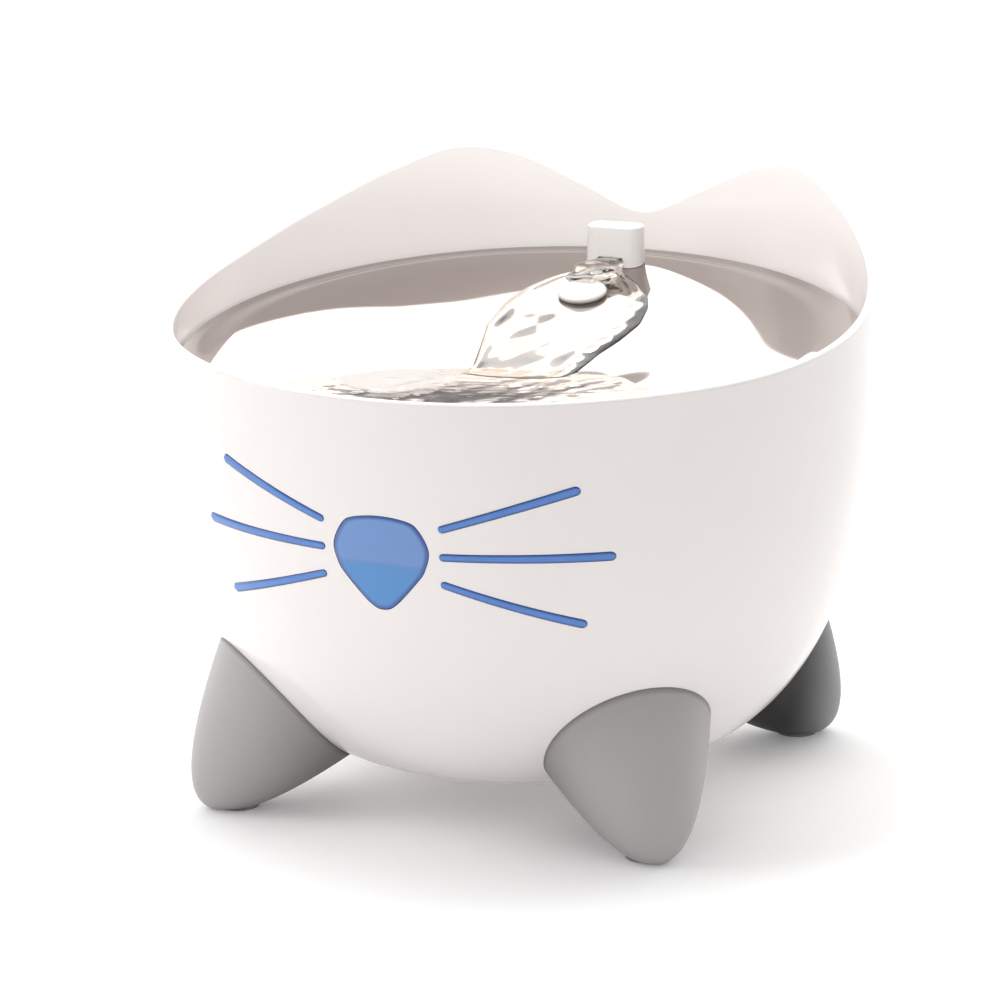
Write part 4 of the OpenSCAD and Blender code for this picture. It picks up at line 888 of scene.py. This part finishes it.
def poolWater():
    # from a middle point out to where the steel or the wall ends the surface; the bottom follows the steel
    a = np.linspace(0, math.tau, pool["columns"], endpoint=False)
    d = np.linspace(1, pool["reach"], 800)[:, None]
    cx, cy = pool["middle"]
    x, y = cx + d * np.cos(a), cy + d * np.sin(a)
    level = np.interp(x, *np.array(pool["level"]).T)
    dry = dishSurface(x, y) > level - pool["film"]
    dry |= np.hypot(x, y) > dish["radius"] - pool["wallGap"]
    reach = d[np.argmax(dry, axis=0), 0]
    for _ in range(3):
        reach = 0.5 * reach + 0.25 * (np.roll(reach, 1) + np.roll(reach, -1))
    share = np.sin(np.linspace(0, math.pi / 2, pool["rows"]))[:, None]
    x, y = cx + share * reach * np.cos(a), cy + share * reach * np.sin(a)
    calm = 1 - share ** 6
    splashX, splashY = pool["splashAt"]
    near = np.exp(-((x - splashX) ** 2 + (y - splashY) ** 2) / pool["splashSpread"] ** 2)
    level = np.interp(x, *np.array(pool["level"]).T)
    height = pool["ripple"] * calm * (pool["restRipple"] + pool["splashRipple"] * near)
    z = level + height * ripples(x, y, *pool["waves"])
    floor = dishSurface(x, y) + pool["lift"]
    top = np.stack([x, y, np.maximum(z, floor + pool["thinnest"])], -1)
    bottom = np.stack([x, y, floor], -1)[::-1]
    grid = np.concatenate([top, bottom])
    grid[0], grid[-1] = grid[0].mean(0), grid[-1].mean(0)
    newPiece("pool_water", [grid], "poolWater", "dish_set")


def streamWater():
    # a sheet between two edges, with a rope of water along the right one, a bead along the left one,
    # streaks running down it and a front end that bulges into the pool
    start, end = stream["start"], stream["end"]
    y = np.linspace(start, end, stream["stations"])
    left, right = (np.interp(y, *np.array(stream[k]).T) for k in ("left", "right"))
    kernel = np.hanning(9) / np.hanning(9).sum()
    left, right = (np.convolve(np.pad(v, 4, "edge"), kernel, "valid") for v in (left, right))
    turn = np.linspace(0, math.tau, 2 * stream["across"], endpoint=False)
    q = np.cos(turn)
    x = (left + right)[:, None] / 2 + q * (right - left)[:, None] / 2
    front = np.clip((0 - y) / stream["bulgeOver"], 0, 1)[:, None]
    yy = np.repeat(y[:, None], len(turn), 1) - stream["bulge"] * (1 - q ** 2) * front
    body = np.abs(np.sin(turn)) ** 0.5
    rope = np.exp(-((q - stream["ropeAt"]) / stream["ropeSpread"]) ** 2)
    rope = rope * (1 + stream["ropeUneven"] * ripples(x, yy, *stream["ropeWaves"]))
    bead = np.exp(-((q - stream["beadAt"]) / stream["beadSpread"]) ** 2)
    bead = stream["sheet"] + stream["rope"] * rope + stream["bead"] * bead
    lumpX, lumpY = stream["lumpAt"]
    lump = stream["lump"] * np.exp(-((x - lumpX) ** 2 + (yy - lumpY) ** 2) / stream["lumpSpread"])
    streaks = (1 + stream["long"] * ripples(x, yy, *stream["longWaves"])
               + stream["wide"] * ripples(x, yy, *stream["wideWaves"]) + lump)
    ends = np.minimum((start - y) / stream["startFade"], (y - end) / stream["endFade"])
    ends = np.minimum(1, ends.clip(0))[:, None] ** 0.5
    lift = np.where(np.sin(turn) > 0, stream["thick"] * body * bead * streaks * ends, 0)
    z = dishSurface(x, yy) + stream["lift"] + lift
    grid = np.stack([x, yy, z], -1)
    grid[0], grid[-1] = grid[0].mean(0), grid[-1].mean(0)
    newPiece("stream_water", [grid], "streamWater", "dish_set")


def jetWater():
    # a flat arch of water from the slot over onto the button, with soft lobes
    knots = np.array(jet["path"], float)
    t = np.linspace(0, len(knots) - 1, 70)
    k = np.arange(len(knots))

    def along(values):
        fine = np.interp(t, k, values)
        kernel = np.hanning(13) / np.hanning(13).sum()
        return np.convolve(np.pad(fine, 6, "edge"), kernel, "valid")

    y, z, w, h = (along(v) for v in (knots[:, 0], knots[:, 1], jet["halfWidth"], jet["halfThick"]))
    slope = np.arctan2(np.gradient(z), -np.gradient(y))
    turn = np.linspace(0, math.tau, 56, endpoint=False)
    cap = np.sqrt(np.clip(1 - (2 * t / t[-1] - 1) ** 16, 0, 1))[:, None]
    x = w[:, None] * np.cos(turn) * (1 + jet["wobble"] * np.sin(3 * t)[:, None]) * (0.5 + 0.5 * cap)
    lobes = (1 + jet["lobe"] * np.sin(2.1 * t[:, None] + 3 * np.cos(turn))
             + jet["fineLobe"] * np.sin(5 * np.cos(turn) + t[:, None]))
    d = h[:, None] * np.sin(turn) * lobes * cap
    grid = np.stack([x, y[:, None] + d * np.sin(slope)[:, None], z[:, None] + d * np.cos(slope)[:, None]], -1)
    grid[0], grid[-1] = grid[0].mean(0), grid[-1].mean(0)
    newPiece("jet_water", [grid], "clearWater", "dish_set")


noseWindow()
makeBowl(makeWhiskers())
bowlFittings()
print("bowl, window and whiskers made")
makeFeet()
print("feet made")
steelDish()
spoutCap()
deflector()
print("dish, spout and button made")
poolWater()
streamWater()
jetWater()
print("water made")

floorWhite = dict(low=(0.93, 0.93, 0.93), high=(0.95, 0.95, 0.95), glow=0.1, half=9)


def makeFloor(p):
    # one wide plain square, faintly uneven in tone
    look = newSheet("floorWhite")
    shade = look.noise(3, 2).rise(0.3, 0.7)
    material = look.finish({"Base Color": look.mix(shade, p["low"], p["high"]), "Roughness": 0.9,
                            "Specular IOR Level": 0.1, "Emission Color": (1.0, 1.0, 1.0, 1),
                            "Emission Strength": p["glow"]})
    mesh = bpy.data.meshes.new("floor")
    half = p["half"]
    mesh.from_pydata([(-half, -half, 0), (half, -half, 0), (half, half, 0), (-half, half, 0)], [],
                     [(0, 1, 2, 3)])
    mesh.materials.append(material)
    floor = bpy.data.objects.new("floor", mesh)
    bpy.context.scene.collection.objects.link(floor)


def softbox(name, place, aim, width, height, power):
    # a rectangular lamp whose face looks at the aim point
    light = bpy.data.lights.new(name, "AREA")
    light.shape, light.size, light.size_y, light.energy = "RECTANGLE", width, height, power
    lamp = bpy.data.objects.new(name, light)
    bpy.context.scene.collection.objects.link(lamp)
    back = np.array(place, float) - np.array(aim, float)
    back /= np.linalg.norm(back)
    right = np.cross([0, 0, 1], back)
    right /= np.linalg.norm(right)
    up = np.cross(back, right)
    lamp.matrix_world = Matrix([[*row, p] for row, p in zip(np.stack([right, up, back], 1), place)]
                               + [[0, 0, 0, 1]])


sky = dict(front=0.62, left=0.35, right=0.42, back=3.0, top=1.0, backWay=(0.37, 0.93))


def studioSky(p):
    # pale studio walls, brightest behind the object
    sheet = Sheet(bpy.data.worlds.new("studio"))
    x, y, z = sheet.axes(sheet.add("ShaderNodeTexCoord", out="Generated"))
    sideward = x.size() ** 2
    side = x.rise(-0.3, 0.3, p["left"], p["right"])
    behind = (p["backWay"][1] * y - p["backWay"][0] * x).rise(0.2, 0.8)
    around = (sideward * side + (1 - sideward) * p["front"]) * (1 - behind) + behind * p["back"]
    high = z.rise(0.86, 0.97)
    level = around * (1 - high) + high * p["top"]
    colour = sheet.add("ShaderNodeBackground", {}, {0: (1.0, 0.995, 0.99, 1), 1: level})
    sheet.add("ShaderNodeOutputWorld", {}, {0: colour})
    bpy.context.scene.world = sheet.owner


lamps = dict(keyBox=dict(place=(-1.3, -0.6, 1.5), aim=(0, 0, 0.08), width=0.9, height=0.9, power=5),
             leftBox=dict(place=(-1.4, -0.7, 0.5), aim=(0, 0, 0.05), width=0.7, height=0.9, power=4),
             innerBox=dict(place=(0.03, -0.05, 0.42), aim=(-0.09, 0.04, 0.17), width=0.16, height=0.12,
                           power=0.75))
makeFloor(floorWhite)
studioSky(sky)
for name, lamp in lamps.items():
    softbox(name, **lamp)
bpy.context.scene.view_settings.view_transform = "Standard"
print("floor and light made")
